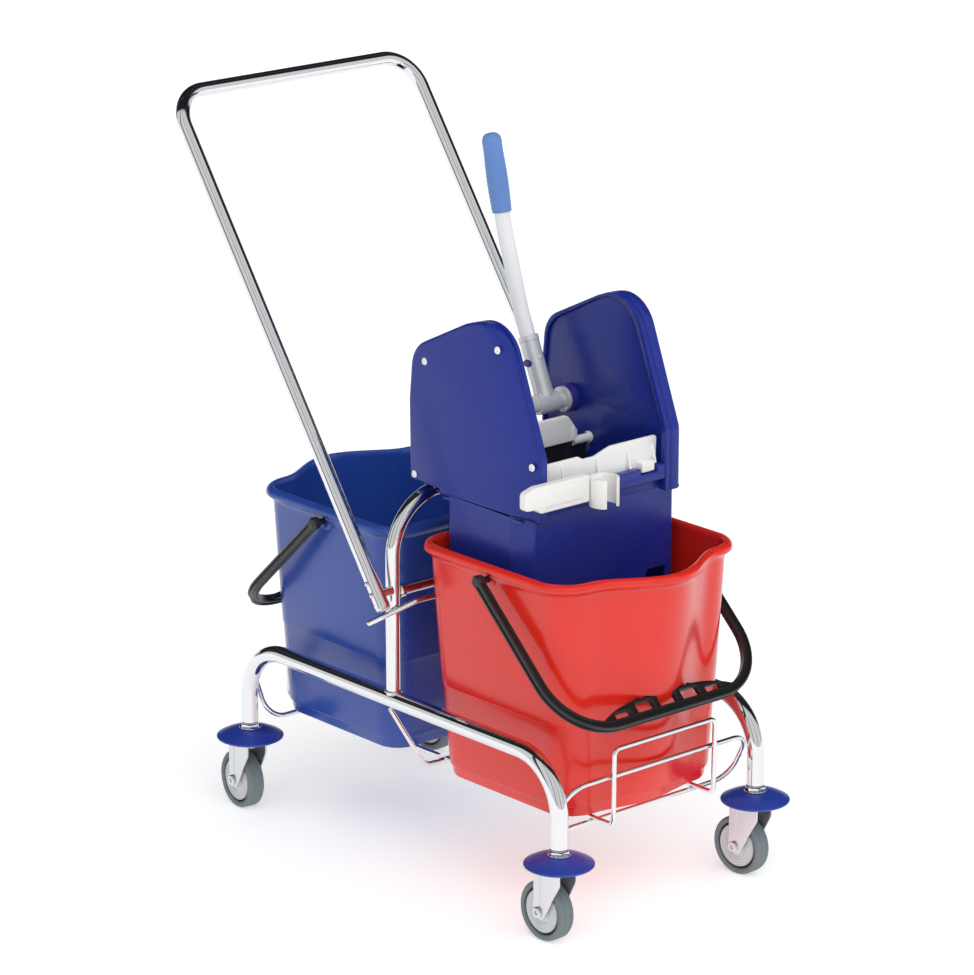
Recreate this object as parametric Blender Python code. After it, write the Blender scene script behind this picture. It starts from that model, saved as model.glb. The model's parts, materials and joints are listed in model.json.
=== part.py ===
"""Double-bucket mop trolley with a jaw wringer: frame, casters, buckets, handle and wringer."""
import math

import bmesh
import bpy
from mathutils import Matrix, Vector

# ---------------------------------------------------------------- driving dimensions (metres)
GAP = 0.0003            # left between solids that touch

# Lengthwise positions are first measured from the middle of the wheelbase, +Y to the handle end.
STEM_X = 0.163          # caster stems, half the track
STEM_Y = 0.295          # caster stems, half the wheelbase
TUBE_R = 0.011          # frame rail tube
RAIL_Z = 0.228          # rail centre height
RAIL_BEND = 0.070
LEG_FOOT_Z = 0.122      # lower end of the rail's legs

HOOP_R = 0.009
HOOP_Y = 0.009
HOOP_TOP_Z = 0.485
HOOP_BEND = 0.075
CROSSBAR_R = 0.007
CROSSBAR_Z = 0.366

HANDLE_R = 0.0092
HANDLE_X = 0.192        # arm centre lines, outside the hoop
HANDLE_FOOT = (-0.008, 0.355)
HANDLE_TOP = (0.393, 0.927)
HANDLE_BEND = 0.045
HANDLE_BOLT_Z = 0.371

WIRE_R = 0.003
LOOP_TOP_Z = 0.192
LOOP_CLEAR = 0.0052     # wire centre to the bucket's wall
ROD_R = 0.0035
GUARD_X = 0.083         # half width of the guards and their runners
GUARD_TOP_Z = 0.229

WHEEL_R = 0.0375
WHEEL_WIDTH = 0.023
TRAIL = 0.021
HUB_R = 0.0280
AXLE_R = 0.0040
DISC_R = 0.043
DISC_RIM_Z = 0.103
FORK_TOP_Z = 0.0945
FORK_HALF = 0.0150
FORK_SHEET = 0.0025

RIM_Z = 0.437           # bucket rim height
FLOOR_Z = 0.1362        # underside of the buckets
BUCKET_LONG = 0.317
BUCKET_HALF = 0.154     # over the rim lip
RED_BACK_Y = -0.0125    # lip facing the hoop
BLUE_BACK_Y = 0.0245
WALL = 0.003
BASE_INSET = 0.045      # how far the bowed wall's foot stands in from the lip
BOW_FLARE = 0.037       # how far that wall leans out from foot to rim

BAIL_PIVOT_IN = 0.136   # from the lip facing the hoop to the bail pivot
BAIL_PIVOT_Z = 0.418
BAIL_X = 0.1620
BAIL_LENGTH = 0.228
BAIL_HANG_DEG = 43.0    # how far the bail hangs below level at rest

LEVER_AXIS = (-0.022, 0.571)    # y, z of the lever shaft
PRESS_DISTANCE = 0.056          # lever shaft to press plate pivot
PRESS_DIRECTION_DEG = 230.0     # from +Y towards +Z
PINION_R = 0.016
SECTOR_R = 0.040
PINION_TEETH = 12
LEVER_X = 0.060

CHEEK_IN = 0.100        # inner face of the wringer's side walls
CHEEK_OUT = 0.120       # outer face of the covers
SKIN = 0.003
BODY_FRONT_Y = -0.188
BODY_REAR_Y = -0.0330
BODY_FLOOR_Z = 0.362
LEDGE_Z = 0.4897
BAND_TOP_Z = 0.525

# The frame's origin is under the middle of the whole cart's box.
REAR_REACH = HANDLE_TOP[0] + HANDLE_R
FRONT_REACH = STEM_Y + DISC_R
CENTRE_SHIFT = -(REAR_REACH - FRONT_REACH) / 2

CASTER_TURN_DEG = {"front_left": 0.0, "front_right": 4.0, "rear_left": -7.0, "rear_right": 3.0}


# ---------------------------------------------------------------- scene, materials, objects
def clear_scene():
    for old in list(bpy.data.objects):
        bpy.data.objects.remove(old, do_unlink=True)


def make_material(name, colour, roughness, metallic=0.0):
    material = bpy.data.materials.new(name)
    material.use_nodes = True
    shader = material.node_tree.nodes["Principled BSDF"]
    shader.inputs["Base Color"].default_value = (*colour, 1.0)
    shader.inputs["Roughness"].default_value = roughness
    shader.inputs["Metallic"].default_value = metallic
    material.diffuse_color = (*colour, 1.0)
    return material


clear_scene()
CHROME = make_material("chrome", (0.78, 0.79, 0.80), 0.08, 1.0)
ZINC = make_material("zinc", (0.62, 0.63, 0.64), 0.35, 1.0)
TYRE = make_material("tyre_grey", (0.16, 0.17, 0.17), 0.75)
HUB_GREY = make_material("hub_grey", (0.66, 0.68, 0.69), 0.45)
BLUE = make_material("blue_plastic", (0.045, 0.075, 0.36), 0.35)
BUMPER_BLUE = make_material("bumper_blue", (0.06, 0.09, 0.42), 0.45)
RED = make_material("red_plastic", (0.72, 0.05, 0.03), 0.22)
BLACK = make_material("black_plastic", (0.02, 0.02, 0.02), 0.4)
WHITE = make_material("white_plastic", (0.86, 0.86, 0.84), 0.4)
LEVER_WHITE = make_material("lever_white", (0.85, 0.86, 0.88), 0.3)
GRIP_BLUE = make_material("grip_blue", (0.14, 0.22, 0.56), 0.5)
NYLON_BLUE = make_material("nylon_blue", (0.03, 0.035, 0.20), 0.4)


def empty(name, location=(0, 0, 0), turn_z=0.0, parent=None):
    holder = bpy.data.objects.new(name, None)
    bpy.context.collection.objects.link(holder)
    holder.location = location
    holder.rotation_euler = (0, 0, turn_z)
    holder.parent = parent
    return holder


CART = empty("cart_middle", (0, CENTRE_SHIFT, 0))


def place(name, data, material, parent=None, location=(0, 0, 0), rotation=(0, 0, 0)):
    piece = bpy.data.objects.new(name, data)
    bpy.context.collection.objects.link(piece)
    piece.data.materials.append(material)
    piece.parent = parent or CART
    piece.location = location
    piece.rotation_euler = rotation
    return piece


def mesh_from(name, bm, smooth_deg=35.0):
    bmesh.ops.recalc_face_normals(bm, faces=bm.faces)
    mesh = bpy.data.meshes.new(name)
    bm.to_mesh(mesh)
    bm.free()
    mesh.shade_smooth()
    mesh.set_sharp_from_angle(angle=math.radians(smooth_deg))
    return mesh


# ---------------------------------------------------------------- shape helpers
def fillet(points, radius, closed=False, steps=6):
    """Round each corner of a path of straight runs with an arc of the given radius."""
    points = [Vector(p) for p in points]
    count = len(points)
    path = []
    for i, corner in enumerate(points):
        if not closed and i in (0, count - 1):
            path.append(corner)
            continue
        back = (points[i - 1] - corner).normalized()
        ahead = (points[(i + 1) % count] - corner).normalized()
        half = back.angle(ahead) / 2
        reach = radius / math.tan(half)
        centre = corner + (back + ahead).normalized() * (radius / math.sin(half))
        first = corner + back * reach - centre
        axis = (corner + back * reach - centre).cross(corner + ahead * reach - centre).normalized()
        sweep = math.pi - 2 * half
        for k in range(steps + 1):
            path.append(centre + Matrix.Rotation(sweep * k / steps, 3, axis) @ first)
    return path


def rod(name, path, radius, material, closed=False, sides=12, parent=None):
    """A round bar or tube swept along a path, closed at its ends."""
    bm = bmesh.new()
    count = len(path)
    path = [Vector(p) for p in path]
    rings = []
    previous = None
    across = None
    for i, here in enumerate(path):
        before = path[i - 1] if closed or i > 0 else here
        after = path[(i + 1) % count] if closed or i < count - 1 else here
        onward = ((after - here).normalized() + (here - before).normalized()).normalized()
        if previous is None:
            across = onward.orthogonal().normalized()
        else:
            across = (previous.rotation_difference(onward) @ across).normalized()
        previous = onward
        other = onward.cross(across)
        turn = [2 * math.pi * (k + 0.5) / sides for k in range(sides)]
        spokes = [across * math.cos(a) + other * math.sin(a) for a in turn]
        rings.append([bm.verts.new(here + radius * spoke) for spoke in spokes])
    pairs = list(zip(rings, rings[1:]))
    if closed:
        pairs.append((rings[-1], rings[0]))
    for low, high in pairs:
        for k in range(sides):
            after = (k + 1) % sides
            bm.faces.new([low[k], low[after], high[after], high[k]])
    if not closed:
        bm.faces.new(rings[0])
        bm.faces.new(rings[-1])
    return place(name, mesh_from(name, bm), material, parent)


def turned(name, profile, steps, bored=False):
    """A solid of revolution about Z from (radius, height) points; a bored one has a closed profile."""
    bm = bmesh.new()
    rings = []
    for radius, height in profile:
        if radius == 0:
            rings.append([bm.verts.new((0, 0, height))])
            continue
        turn = [2 * math.pi * k / steps for k in range(steps)]
        rings.append([bm.verts.new((radius * math.cos(a), radius * math.sin(a), height)) for a in turn])
    pairs = list(zip(rings, rings[1:]))
    if bored:
        pairs.append((rings[-1], rings[0]))
    for low, high in pairs:
        if len(low) == len(high) == 1:
            continue
        for k in range(steps):
            after = (k + 1) % steps
            corners = [low[k % len(low)], low[after % len(low)]]
            corners += [high[after % len(high)], high[k % len(high)]]
            bm.faces.new(list(dict.fromkeys(corners)))
    return mesh_from(name, bm)


def rounded(corners, steps=5):
    """A closed outline from (a, b, radius) corners."""
    outline = []
    count = len(corners)
    for i, (a, b, radius) in enumerate(corners):
        here = Vector((a, b))
        if radius == 0:
            outline.append((a, b))
            continue
        back = (Vector(corners[i - 1][:2]) - here).normalized()
        ahead = (Vector(corners[(i + 1) % count][:2]) - here).normalized()
        half = back.angle(ahead) / 2
        centre = here + (back + ahead).normalized() * (radius / math.sin(half))
        start = here + back * (radius / math.tan(half)) - centre
        end = here + ahead * (radius / math.tan(half)) - centre
        sweep = start.angle_signed(end)
        for k in range(steps + 1):
            outline.append(tuple(centre + Matrix.Rotation(-sweep * k / steps, 2) @ start))
    return outline


def prism_x(name, outline, low, high):
    """An outline in the Y-Z plane, extruded along X."""
    bm = bmesh.new()
    face = bm.faces.new([bm.verts.new((low, y, z)) for y, z in outline])
    grown = bmesh.ops.extrude_face_region(bm, geom=[face])
    moved = [item for item in grown["geom"] if isinstance(item, bmesh.types.BMVert)]
    bmesh.ops.translate(bm, verts=moved, vec=(high - low, 0, 0))
    return mesh_from(name, bm)


def prism_z(name, outline, low, high):
    """An outline in the X-Y plane, extruded along Z."""
    mesh = prism_x(name, outline, low, high)
    mesh.transform(Matrix(((0, 1, 0, 0), (0, 0, 1, 0), (1, 0, 0, 0), (0, 0, 0, 1))))
    return mesh


def box_mesh(name, low, high):
    outline = [(low[1], low[2]), (high[1], low[2]), (high[1], high[2]), (low[1], high[2])]
    return prism_x(name, outline, low[0], high[0])


def cylinder_x(name, radius, low, high, y, z, steps=20):
    turn = [2 * math.pi * k / steps for k in range(steps)]
    outline = [(y + radius * math.cos(a), z + radius * math.sin(a)) for a in turn]
    return prism_x(name, outline, low, high)


def helper(mesh, parent=None):
    """A hidden solid that a Boolean uses."""
    tool = bpy.data.objects.new(mesh.name, mesh)
    bpy.context.collection.objects.link(tool)
    tool.parent = parent or CART
    tool.hide_render = True
    tool.display_type = "WIRE"
    return tool


def boolean(piece, mesh, operation, parent=None):
    step = piece.modifiers.new(mesh.name, "BOOLEAN")
    step.operation = operation
    step.solver = "EXACT"
    step.object = helper(mesh, parent)


def cut(piece, mesh, parent=None):
    boolean(piece, mesh, "DIFFERENCE", parent)


def join(piece, mesh, parent=None):
    boolean(piece, mesh, "UNION", parent)


# ---------------------------------------------------------------- frame
def side_rail(name, x):
    corners = [(x, STEM_Y, LEG_FOOT_Z), (x, STEM_Y, RAIL_Z), (x, -STEM_Y, RAIL_Z), (x, -STEM_Y, LEG_FOOT_Z)]
    rod(name, fillet(corners, RAIL_BEND), TUBE_R, CHROME)


def centre_hoop():
    foot = RAIL_Z + TUBE_R + GAP
    corners = [(-STEM_X, HOOP_Y, foot), (-STEM_X, HOOP_Y, HOOP_TOP_Z)]
    corners += [(STEM_X, HOOP_Y, HOOP_TOP_Z), (STEM_X, HOOP_Y, foot)]
    rod("centre_hoop", fillet(corners, HOOP_BEND), HOOP_R, CHROME)
    reach = STEM_X - HOOP_R - GAP
    ends = [(-reach, HOOP_Y, CROSSBAR_Z), (reach, HOOP_Y, CROSSBAR_Z)]
    rod("hoop_crossbar", ends, CROSSBAR_R, CHROME)


def handle_rest_rod():
    """One bent rod across the front of both hoop posts; its ends carry the feet of the handle."""
    bend_y = HOOP_Y - HOOP_R - ROD_R - 2 * GAP - 0.008
    side = [(-0.196, 0.0175, 0.3300), (-0.1845, 0.0035, 0.3400), (-0.143, bend_y, 0.3560)]
    corners = [Vector(p) for p in side] + [Vector((-p[0], p[1], p[2])) for p in reversed(side)]
    rod("handle_rest_rod", fillet(corners, 0.006, steps=4), ROD_R, CHROME, sides=8)


def bowed_face(back_y, end, height):
    """Where the middle of a bucket's bowed wall stands at a height."""
    share = (height - FLOOR_Z) / (RIM_Z - FLOOR_Z)
    return back_y + end * (BUCKET_LONG - BASE_INSET + BOW_FLARE * share)


def rack_loop(name, back_y, end):
    """A race-track of wire from leg to leg, tipped so its lower run passes under the bucket."""
    half = STEM_X - TUBE_R - WIRE_R - GAP
    top = (bowed_face(back_y, end, LOOP_TOP_Z) + end * LOOP_CLEAR, LOOP_TOP_Z)
    low = (top[0] - end * 0.034, FLOOR_Z - 3 * WIRE_R - 3 * GAP)
    corners = [(-half, *top), (half, *top), (half, *low), (-half, *low)]
    path = fillet(corners, 0.028, closed=True, steps=5)
    rod(name, path, WIRE_R, CHROME, closed=True, sides=8)


def guard_runner(name, back_y, end):
    """A wire guard that stands in front of the bucket and runs back under it as two rails."""
    x = GUARD_X
    runner_z = FLOOR_Z - WIRE_R - GAP
    stand = bowed_face(back_y, end, LOOP_TOP_Z) + end * (LOOP_CLEAR + 2 * WIRE_R + GAP)
    inner = (HOOP_Y + end * 0.006, runner_z)
    foot = (stand, runner_z)
    crest = (stand + end * 0.001, GUARD_TOP_Z)
    corners = [(-x, *inner), (-x, *foot), (-x, *crest), (x, *crest), (x, *foot), (x, *inner)]
    rod(name, fillet(corners, 0.010, steps=4), WIRE_R, CHROME, sides=8)


def cradle_wire():
    """The wire under the middle of the cart, hung from both rails."""
    low = FLOOR_Z - 3 * WIRE_R - 3 * GAP
    high = RAIL_Z - TUBE_R - 0.0020
    y = HOOP_Y + 0.0060
    corners = [(-STEM_X, y, high), (-0.108, y, low), (0.108, y, low), (STEM_X, y, high)]
    rod("cradle_wire", fillet(corners, 0.020), WIRE_R, CHROME, sides=8)


def push_handle():
    corners = [(-HANDLE_X, *HANDLE_FOOT), (-HANDLE_X, *HANDLE_TOP)]
    corners += [(HANDLE_X, *HANDLE_TOP), (HANDLE_X, *HANDLE_FOOT)]
    rod("push_handle", fillet(corners, HANDLE_BEND), HANDLE_R, CHROME)
    slope = (HANDLE_TOP[0] - HANDLE_FOOT[0]) / (HANDLE_TOP[1] - HANDLE_FOOT[1])
    bolt_y = HANDLE_FOOT[0] + slope * (HANDLE_BOLT_Z - HANDLE_FOOT[1])
    for side, sign in (("left", -1), ("right", 1)):
        inner = sign * (STEM_X + HOOP_R + GAP)
        outer = sign * (HANDLE_X - HANDLE_R - GAP)
        ends = [(inner, bolt_y, HANDLE_BOLT_Z), (outer, bolt_y, HANDLE_BOLT_Z)]
        rod("handle_spacer_" + side, ends, 0.0055, CHROME, sides=10)
        head_in = sign * (HANDLE_X + HANDLE_R + GAP)
        head = [(head_in, bolt_y, HANDLE_BOLT_Z), (head_in + sign * 0.0022, bolt_y, HANDLE_BOLT_Z)]
        rod("handle_bolt_" + side, head, 0.0042, ZINC, sides=8)


# ---------------------------------------------------------------- casters
def bumper_disc_mesh():
    bore = 0.0058
    rim = DISC_RIM_Z
    profile = [(bore, rim - 0.003), (0.030, rim - 0.003), (0.0405, rim - 0.0045), (DISC_R, rim - 0.002)]
    profile += [(DISC_R, rim + 0.001), (0.0375, rim + 0.0055), (0.020, rim + 0.0095), (bore, rim + 0.0105)]
    return turned("bumper_disc", profile, 24, bored=True)


def stem_mesh():
    top = LEG_FOOT_Z - GAP
    nut_low = DISC_RIM_Z + 0.0105 + GAP
    profile = [(0, 0.0865), (0.0085, 0.0865), (0.0085, 0.0905), (0.0050, 0.0905), (0.0050, nut_low)]
    profile += [(0.0125, nut_low), (0.0135, nut_low + 0.003), (0.0115, top), (0, top)]
    return turned("caster_stem", profile, 16)


def fork_mesh():
    """The fork's side view, cut from sheet and folded: two cheeks under a top plate."""
    low = WHEEL_R - 0.0085
    side = rounded([(-0.016, FORK_TOP_Z, 0.0), (0.029, FORK_TOP_Z, 0.0), (0.0295, WHEEL_R + 0.010, 0.0),
                    (TRAIL + 0.0085, low, 0.0080), (TRAIL - 0.0085, low, 0.0080), (-0.016, 0.080, 0.006)], 3)
    return prism_x("fork", side, -FORK_HALF, FORK_HALF)


def caster(corner, x, y):
    """One swivel caster; the wheel trails behind the stem, towards the handle at rest."""
    place("bumper_disc_" + corner, bumper_disc_mesh(), BUMPER_BLUE, location=(x, y, 0))
    place("caster_stem_" + corner, stem_mesh(), ZINC, location=(x, y, 0))
    swivel = empty("swivel_" + corner, (x, y, 0), math.radians(CASTER_TURN_DEG[corner]), CART)
    fork = place("fork_" + corner, fork_mesh(), ZINC, swivel)
    room_half = FORK_HALF - FORK_SHEET
    room = (-room_half, -0.03, 0.0), (room_half, 0.04, FORK_TOP_Z - 0.0030)
    cut(fork, box_mesh("fork_room", *room), swivel)
    cut(fork, cylinder_x("fork_bores", AXLE_R + GAP, -0.03, 0.03, TRAIL, WHEEL_R, 12), swivel)
    stem_bore = turned("fork_stem_bore", [(0, 0.085), (0.0054, 0.085), (0.0054, 0.10), (0, 0.10)], 16)
    cut(fork, stem_bore, swivel)
    flat = math.radians(90)
    half = WHEEL_WIDTH / 2
    head = FORK_HALF + GAP
    bolt = [(0, -head - 0.003), (0.0070, -head - 0.003), (0.0070, -head), (AXLE_R, -head)]
    bolt += [(AXLE_R, head), (0.0065, head), (0.0065, head + 0.004), (0, head + 0.004)]
    at_axle = (0, TRAIL, WHEEL_R)
    place("axle_" + corner, turned("axle", bolt, 12), ZINC, swivel, at_axle, (0, flat, 0))
    bore = AXLE_R + GAP
    hub = [(bore, -0.0118), (0.0100, -0.0118), (0.0130, -0.0090), (HUB_R - 0.004, -0.0085)]
    hub += [(HUB_R, -0.0100), (HUB_R, 0.0100), (HUB_R - 0.004, 0.0085), (0.0130, 0.0090)]
    hub += [(0.0100, 0.0118), (bore, 0.0118)]
    place("wheel_hub_" + corner, turned("wheel_hub", hub, 16, True), HUB_GREY, swivel, at_axle, (0, flat, 0))
    inner = HUB_R + GAP
    tyre = [(inner, -0.0102), (0.0325, -half), (0.0355, -half + 0.001), (WHEEL_R, -half + 0.0055)]
    tyre += [(WHEEL_R, half - 0.0055), (0.0355, half - 0.001), (0.0325, half), (inner, 0.0102)]
    place("tyre_" + corner, turned("tyre", tyre, 24, True), TYRE, swivel, at_axle, (0, flat, 0))


# ---------------------------------------------------------------- buckets
def bucket_outline(half, back, front, bulge, corner_back, corner_front):
    """Plan view: square end towards the hoop, bowed end away from it, +V away from the hoop."""
    points = []
    steps = 5
    side_end = front - bulge - corner_front
    for sign in (-1, 1):
        arc = []
        for k in range(steps + 1):
            a = math.pi / 2 * k / steps
            across = half - corner_back + corner_back * math.sin(a)
            arc.append((sign * across, back + corner_back - corner_back * math.cos(a)))
        for k in range(steps + 1):
            a = math.pi / 2 * k / steps
            across = half - corner_front + corner_front * math.cos(a)
            arc.append((sign * across, side_end + corner_front * math.sin(a)))
        flat = half - corner_front
        for k in range(1, 5):
            across = flat * (1 - k / 4)
            bow = front - bulge * (across / flat) ** 2
            if sign > 0 or k < 4:
                arc.append((sign * across, bow))
        points += arc if sign < 0 else list(reversed(arc))
    return points


def bucket(name, back_y, end, material):
    """A tapering shell with a rolled lip; end is -1 or +1, the way the bowed end faces."""
    wall_half = BUCKET_HALF - 0.009
    long = BUCKET_LONG
    floor_in = 0.024
    base = (0.128, floor_in, long - BASE_INSET, 0.012, 0.034, 0.045)
    base_low = (0.125, floor_in + 0.003, long - 0.048, 0.012, 0.034, 0.045)
    upper = (wall_half, 0.0085, long - 0.009, 0.042, 0.034, 0.042)
    lip = (BUCKET_HALF, 0.0, long, 0.044, 0.040, 0.046)

    def thinner(shape):
        half, back, front, bulge, corner_back, corner_front = shape
        return (half - WALL, back + WALL, front - WALL, bulge, corner_back - WALL, corner_front - WALL)

    rim_low = RIM_Z - 0.010
    levels = [(base_low, FLOOR_Z), (base, FLOOR_Z + 0.004), (upper, rim_low), (lip, rim_low - 0.002)]
    levels += [(lip, RIM_Z - 0.003), (upper, RIM_Z), (thinner(upper), RIM_Z - 0.001)]
    levels += [(thinner(base), FLOOR_Z + 0.008), (thinner(base_low), FLOOR_Z + 0.0035)]
    bm = bmesh.new()
    rings = []
    for shape, height in levels:
        outline = bucket_outline(*shape)
        rings.append([bm.verts.new((x, back_y + end * v, height)) for x, v in outline])
    for low, high in zip(rings, rings[1:]):
        count = len(low)
        for k in range(count):
            after = (k + 1) % count
            bm.faces.new([low[k], low[after], high[after], high[k]])
    bm.faces.new(rings[0])
    bm.faces.new(rings[-1])
    place(name, mesh_from(name, bm), material)


def bail(name, back_y, end):
    """The carrying bail: two flat arms, a wide loop and a thick grip, hung from stubs in the walls."""
    pivot = Vector((0, back_y + end * BAIL_PIVOT_IN, BAIL_PIVOT_Z))
    hang = math.radians(BAIL_HANG_DEG)
    down = Vector((0, end * math.cos(hang), -math.sin(hang)))
    side = Vector((1, 0, 0))
    stub = BUCKET_HALF - 0.009 + 0.0016
    corners = [pivot - side * BAIL_X, pivot - side * BAIL_X + down * BAIL_LENGTH]
    corners += [pivot + side * BAIL_X + down * BAIL_LENGTH, pivot + side * BAIL_X]
    path = fillet(corners, 0.070, steps=7)
    loop = rod(name, path, 0.0038, BLACK, sides=8)
    grip_half = 0.105
    grip_at = pivot + down * BAIL_LENGTH
    grip = turned(name + "_grip", [(0, -grip_half), (0.008, -grip_half), (0.0105, -grip_half + 0.01),
                                   (0.0105, grip_half - 0.01), (0.008, grip_half), (0, grip_half)], 10)
    grip.transform(Matrix.Translation(grip_at) @ Matrix.Rotation(math.radians(90), 4, "Y"))
    join(loop, grip)
    for sign in (-1, 1):
        low, high = sorted((sign * stub, sign * (BAIL_X + 0.0035)))
        boss = cylinder_x(name + "_stub", 0.0055, low, high, pivot.y, pivot.z, 12)
        join(loop, boss)


# ---------------------------------------------------------------- wringer
def cheek_outline(inset=0.0):
    d = inset
    corners = [(-0.199 + d, 0.490 + d, 0), (-0.199 + d, 0.568, 0.025), (-0.1360 + d, 0.7310 - 1.6 * d, 0.050)]
    corners += [(-0.0750, 0.7130 - d, 0.060), (0.0220 - d, 0.6660 - d, 0.040), (0.0285 - d, 0.6000, 0.050)]
    corners += [(0.027 - d, 0.497 + d, 0), (-0.027 - d, 0.497 + d, 0)]
    corners += [(-0.027 - d, 0.490 + d, 0)]
    return rounded(corners, 7)


def press_axis():
    a = math.radians(PRESS_DIRECTION_DEG)
    return (LEVER_AXIS[0] + PRESS_DISTANCE * math.cos(a), LEVER_AXIS[1] + PRESS_DISTANCE * math.sin(a))


def shell_plan(inset=0.0):
    """Plan of the wringer's lower shell: its rear corners are cut off to clear the pail's rounded corners."""
    half = CHEEK_OUT - inset
    front, rear = BODY_FRONT_Y + inset, BODY_REAR_Y - inset
    plan = [(0.012 - half, front), (half - 0.003, front), (half, front + 0.003), (half, rear - 0.014)]
    plan += [(half - 0.014, rear), (0.014 - half, rear), (-half, rear - 0.014), (-half, front + 0.030)]
    return plan


def wringer_body():
    """An open-topped box with a slotted floor and two tall side walls."""
    body = place("wringer_body", prism_z("wringer_body", shell_plan(), BODY_FLOOR_Z, LEDGE_Z), BLUE)
    wall_out = CHEEK_IN + SKIN
    for low, high in ((-wall_out, -CHEEK_IN), (CHEEK_IN, wall_out)):
        join(body, prism_x("side_wall", cheek_outline(0.0005), low, high))
    band_low = (-wall_out, BODY_FRONT_Y - 0.009, 0.506)
    band_high = (wall_out, BODY_FRONT_Y + SKIN, BAND_TOP_Z)
    join(body, box_mesh("front_band", band_low, band_high))
    front_low = (-wall_out, BODY_FRONT_Y, LEDGE_Z - SKIN)
    front_high = (wall_out, BODY_FRONT_Y + SKIN, BAND_TOP_Z - 0.001)
    join(body, box_mesh("front_wall", front_low, front_high))
    rear_low = (-wall_out, BODY_REAR_Y - SKIN, LEDGE_Z - SKIN)
    rear_high = (wall_out, BODY_REAR_Y, 0.506)
    join(body, box_mesh("rear_wall", rear_low, rear_high))
    cut(body, prism_z("body_room", shell_plan(SKIN), BODY_FLOOR_Z + SKIN, LEDGE_Z - SKIN))
    mouth_low = (-CHEEK_IN, BODY_FRONT_Y + SKIN, LEDGE_Z - 2 * SKIN)
    mouth_high = (CHEEK_IN, BODY_REAR_Y - SKIN, LEDGE_Z + SKIN)
    cut(body, box_mesh("body_mouth", mouth_low, mouth_high))
    for k in range(5):
        x = -0.080 + 0.040 * k
        slot_low = (x - 0.012, BODY_FRONT_Y + 0.020, BODY_FLOOR_Z - 0.01)
        slot_high = (x + 0.012, BODY_REAR_Y - 0.020, BODY_FLOOR_Z + 0.01)
        cut(body, box_mesh("drain_slot", slot_low, slot_high))
    for y, z in (LEVER_AXIS, press_axis()):
        cut(body, cylinder_x("axis_bore", 0.0063, -0.11, 0.11, y, z, 16))


def wringer_cover(side, sign):
    outer, inner = sign * CHEEK_OUT, sign * (CHEEK_IN + SKIN + GAP)
    name = "wringer_cover_" + side
    low, high = sorted((inner, outer))
    cover = place(name, prism_x(name, cheek_outline(), low, high), BLUE)
    far = sign * (CHEEK_OUT - SKIN)
    near = inner - sign * 0.01
    cut(cover, prism_x("cover_room", cheek_outline(SKIN), *sorted((near, far))))


def wringer_front():
    """The fixed front jaw, the mop clip on the front band and the two hooks over the hoop."""
    y = BODY_FRONT_Y + SKIN + 2 * GAP
    jaw = [(y, 0.5275), (y, 0.557), (y + 0.005, 0.557), (y + 0.005, 0.512)]
    jaw += [(-0.1375, 0.398), (-0.1425, 0.396), (y, 0.506)]
    place("front_jaw", prism_x("front_jaw", jaw, -0.094, 0.094), WHITE)
    clip_back = BODY_FRONT_Y - 0.009 - 0.002 - GAP
    bar = box_mesh("mop_clip", (-0.146, clip_back - 0.012, 0.504), (-0.033, clip_back, 0.541))
    clip = place("mop_clip", bar, WHITE)
    join(clip, box_mesh("clip_web", (-0.034, clip_back - 0.005, 0.503), (0.009, clip_back, 0.533)))
    for low, high in ((-0.035, -0.027), (0.002, 0.009)):
        join(clip, box_mesh("clip_prong", (low, clip_back - 0.024, 0.500), (high, clip_back, 0.536)))
    top = HOOP_TOP_Z + HOOP_R + GAP
    hook = [(BODY_REAR_Y + GAP, top - 0.008), (BODY_REAR_Y + GAP, top + 0.008), (0.028, top + 0.008)]
    hook += [(0.028, top - 0.028), (0.0225, top - 0.028), (0.0185, top - 0.012), (0.0185, top)]
    hook += [(BODY_REAR_Y + 0.012, top)]
    for side, x in (("left", -0.060), ("right", 0.060)):
        place("hanger_hook_" + side, prism_x("hanger_hook", hook, x - 0.008, x + 0.008), BLUE)


def gear_outline(teeth, pitch_radius, phase, first=0, last=None):
    """Straight-flanked teeth with play; a sector keeps only some of them."""
    last = teeth if last is None else last
    pitch = 2 * math.pi / teeth
    outline = []
    for k in range(first, last):
        middle = phase + pitch * k
        marks = [(-0.30, -0.0024), (-0.13, 0.0018), (0.13, 0.0018), (0.30, -0.0024)]
        for share, step in marks:
            a = middle + share * pitch
            radius = pitch_radius + step
            outline.append((radius * math.cos(a), radius * math.sin(a)))
    return outline


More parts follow.
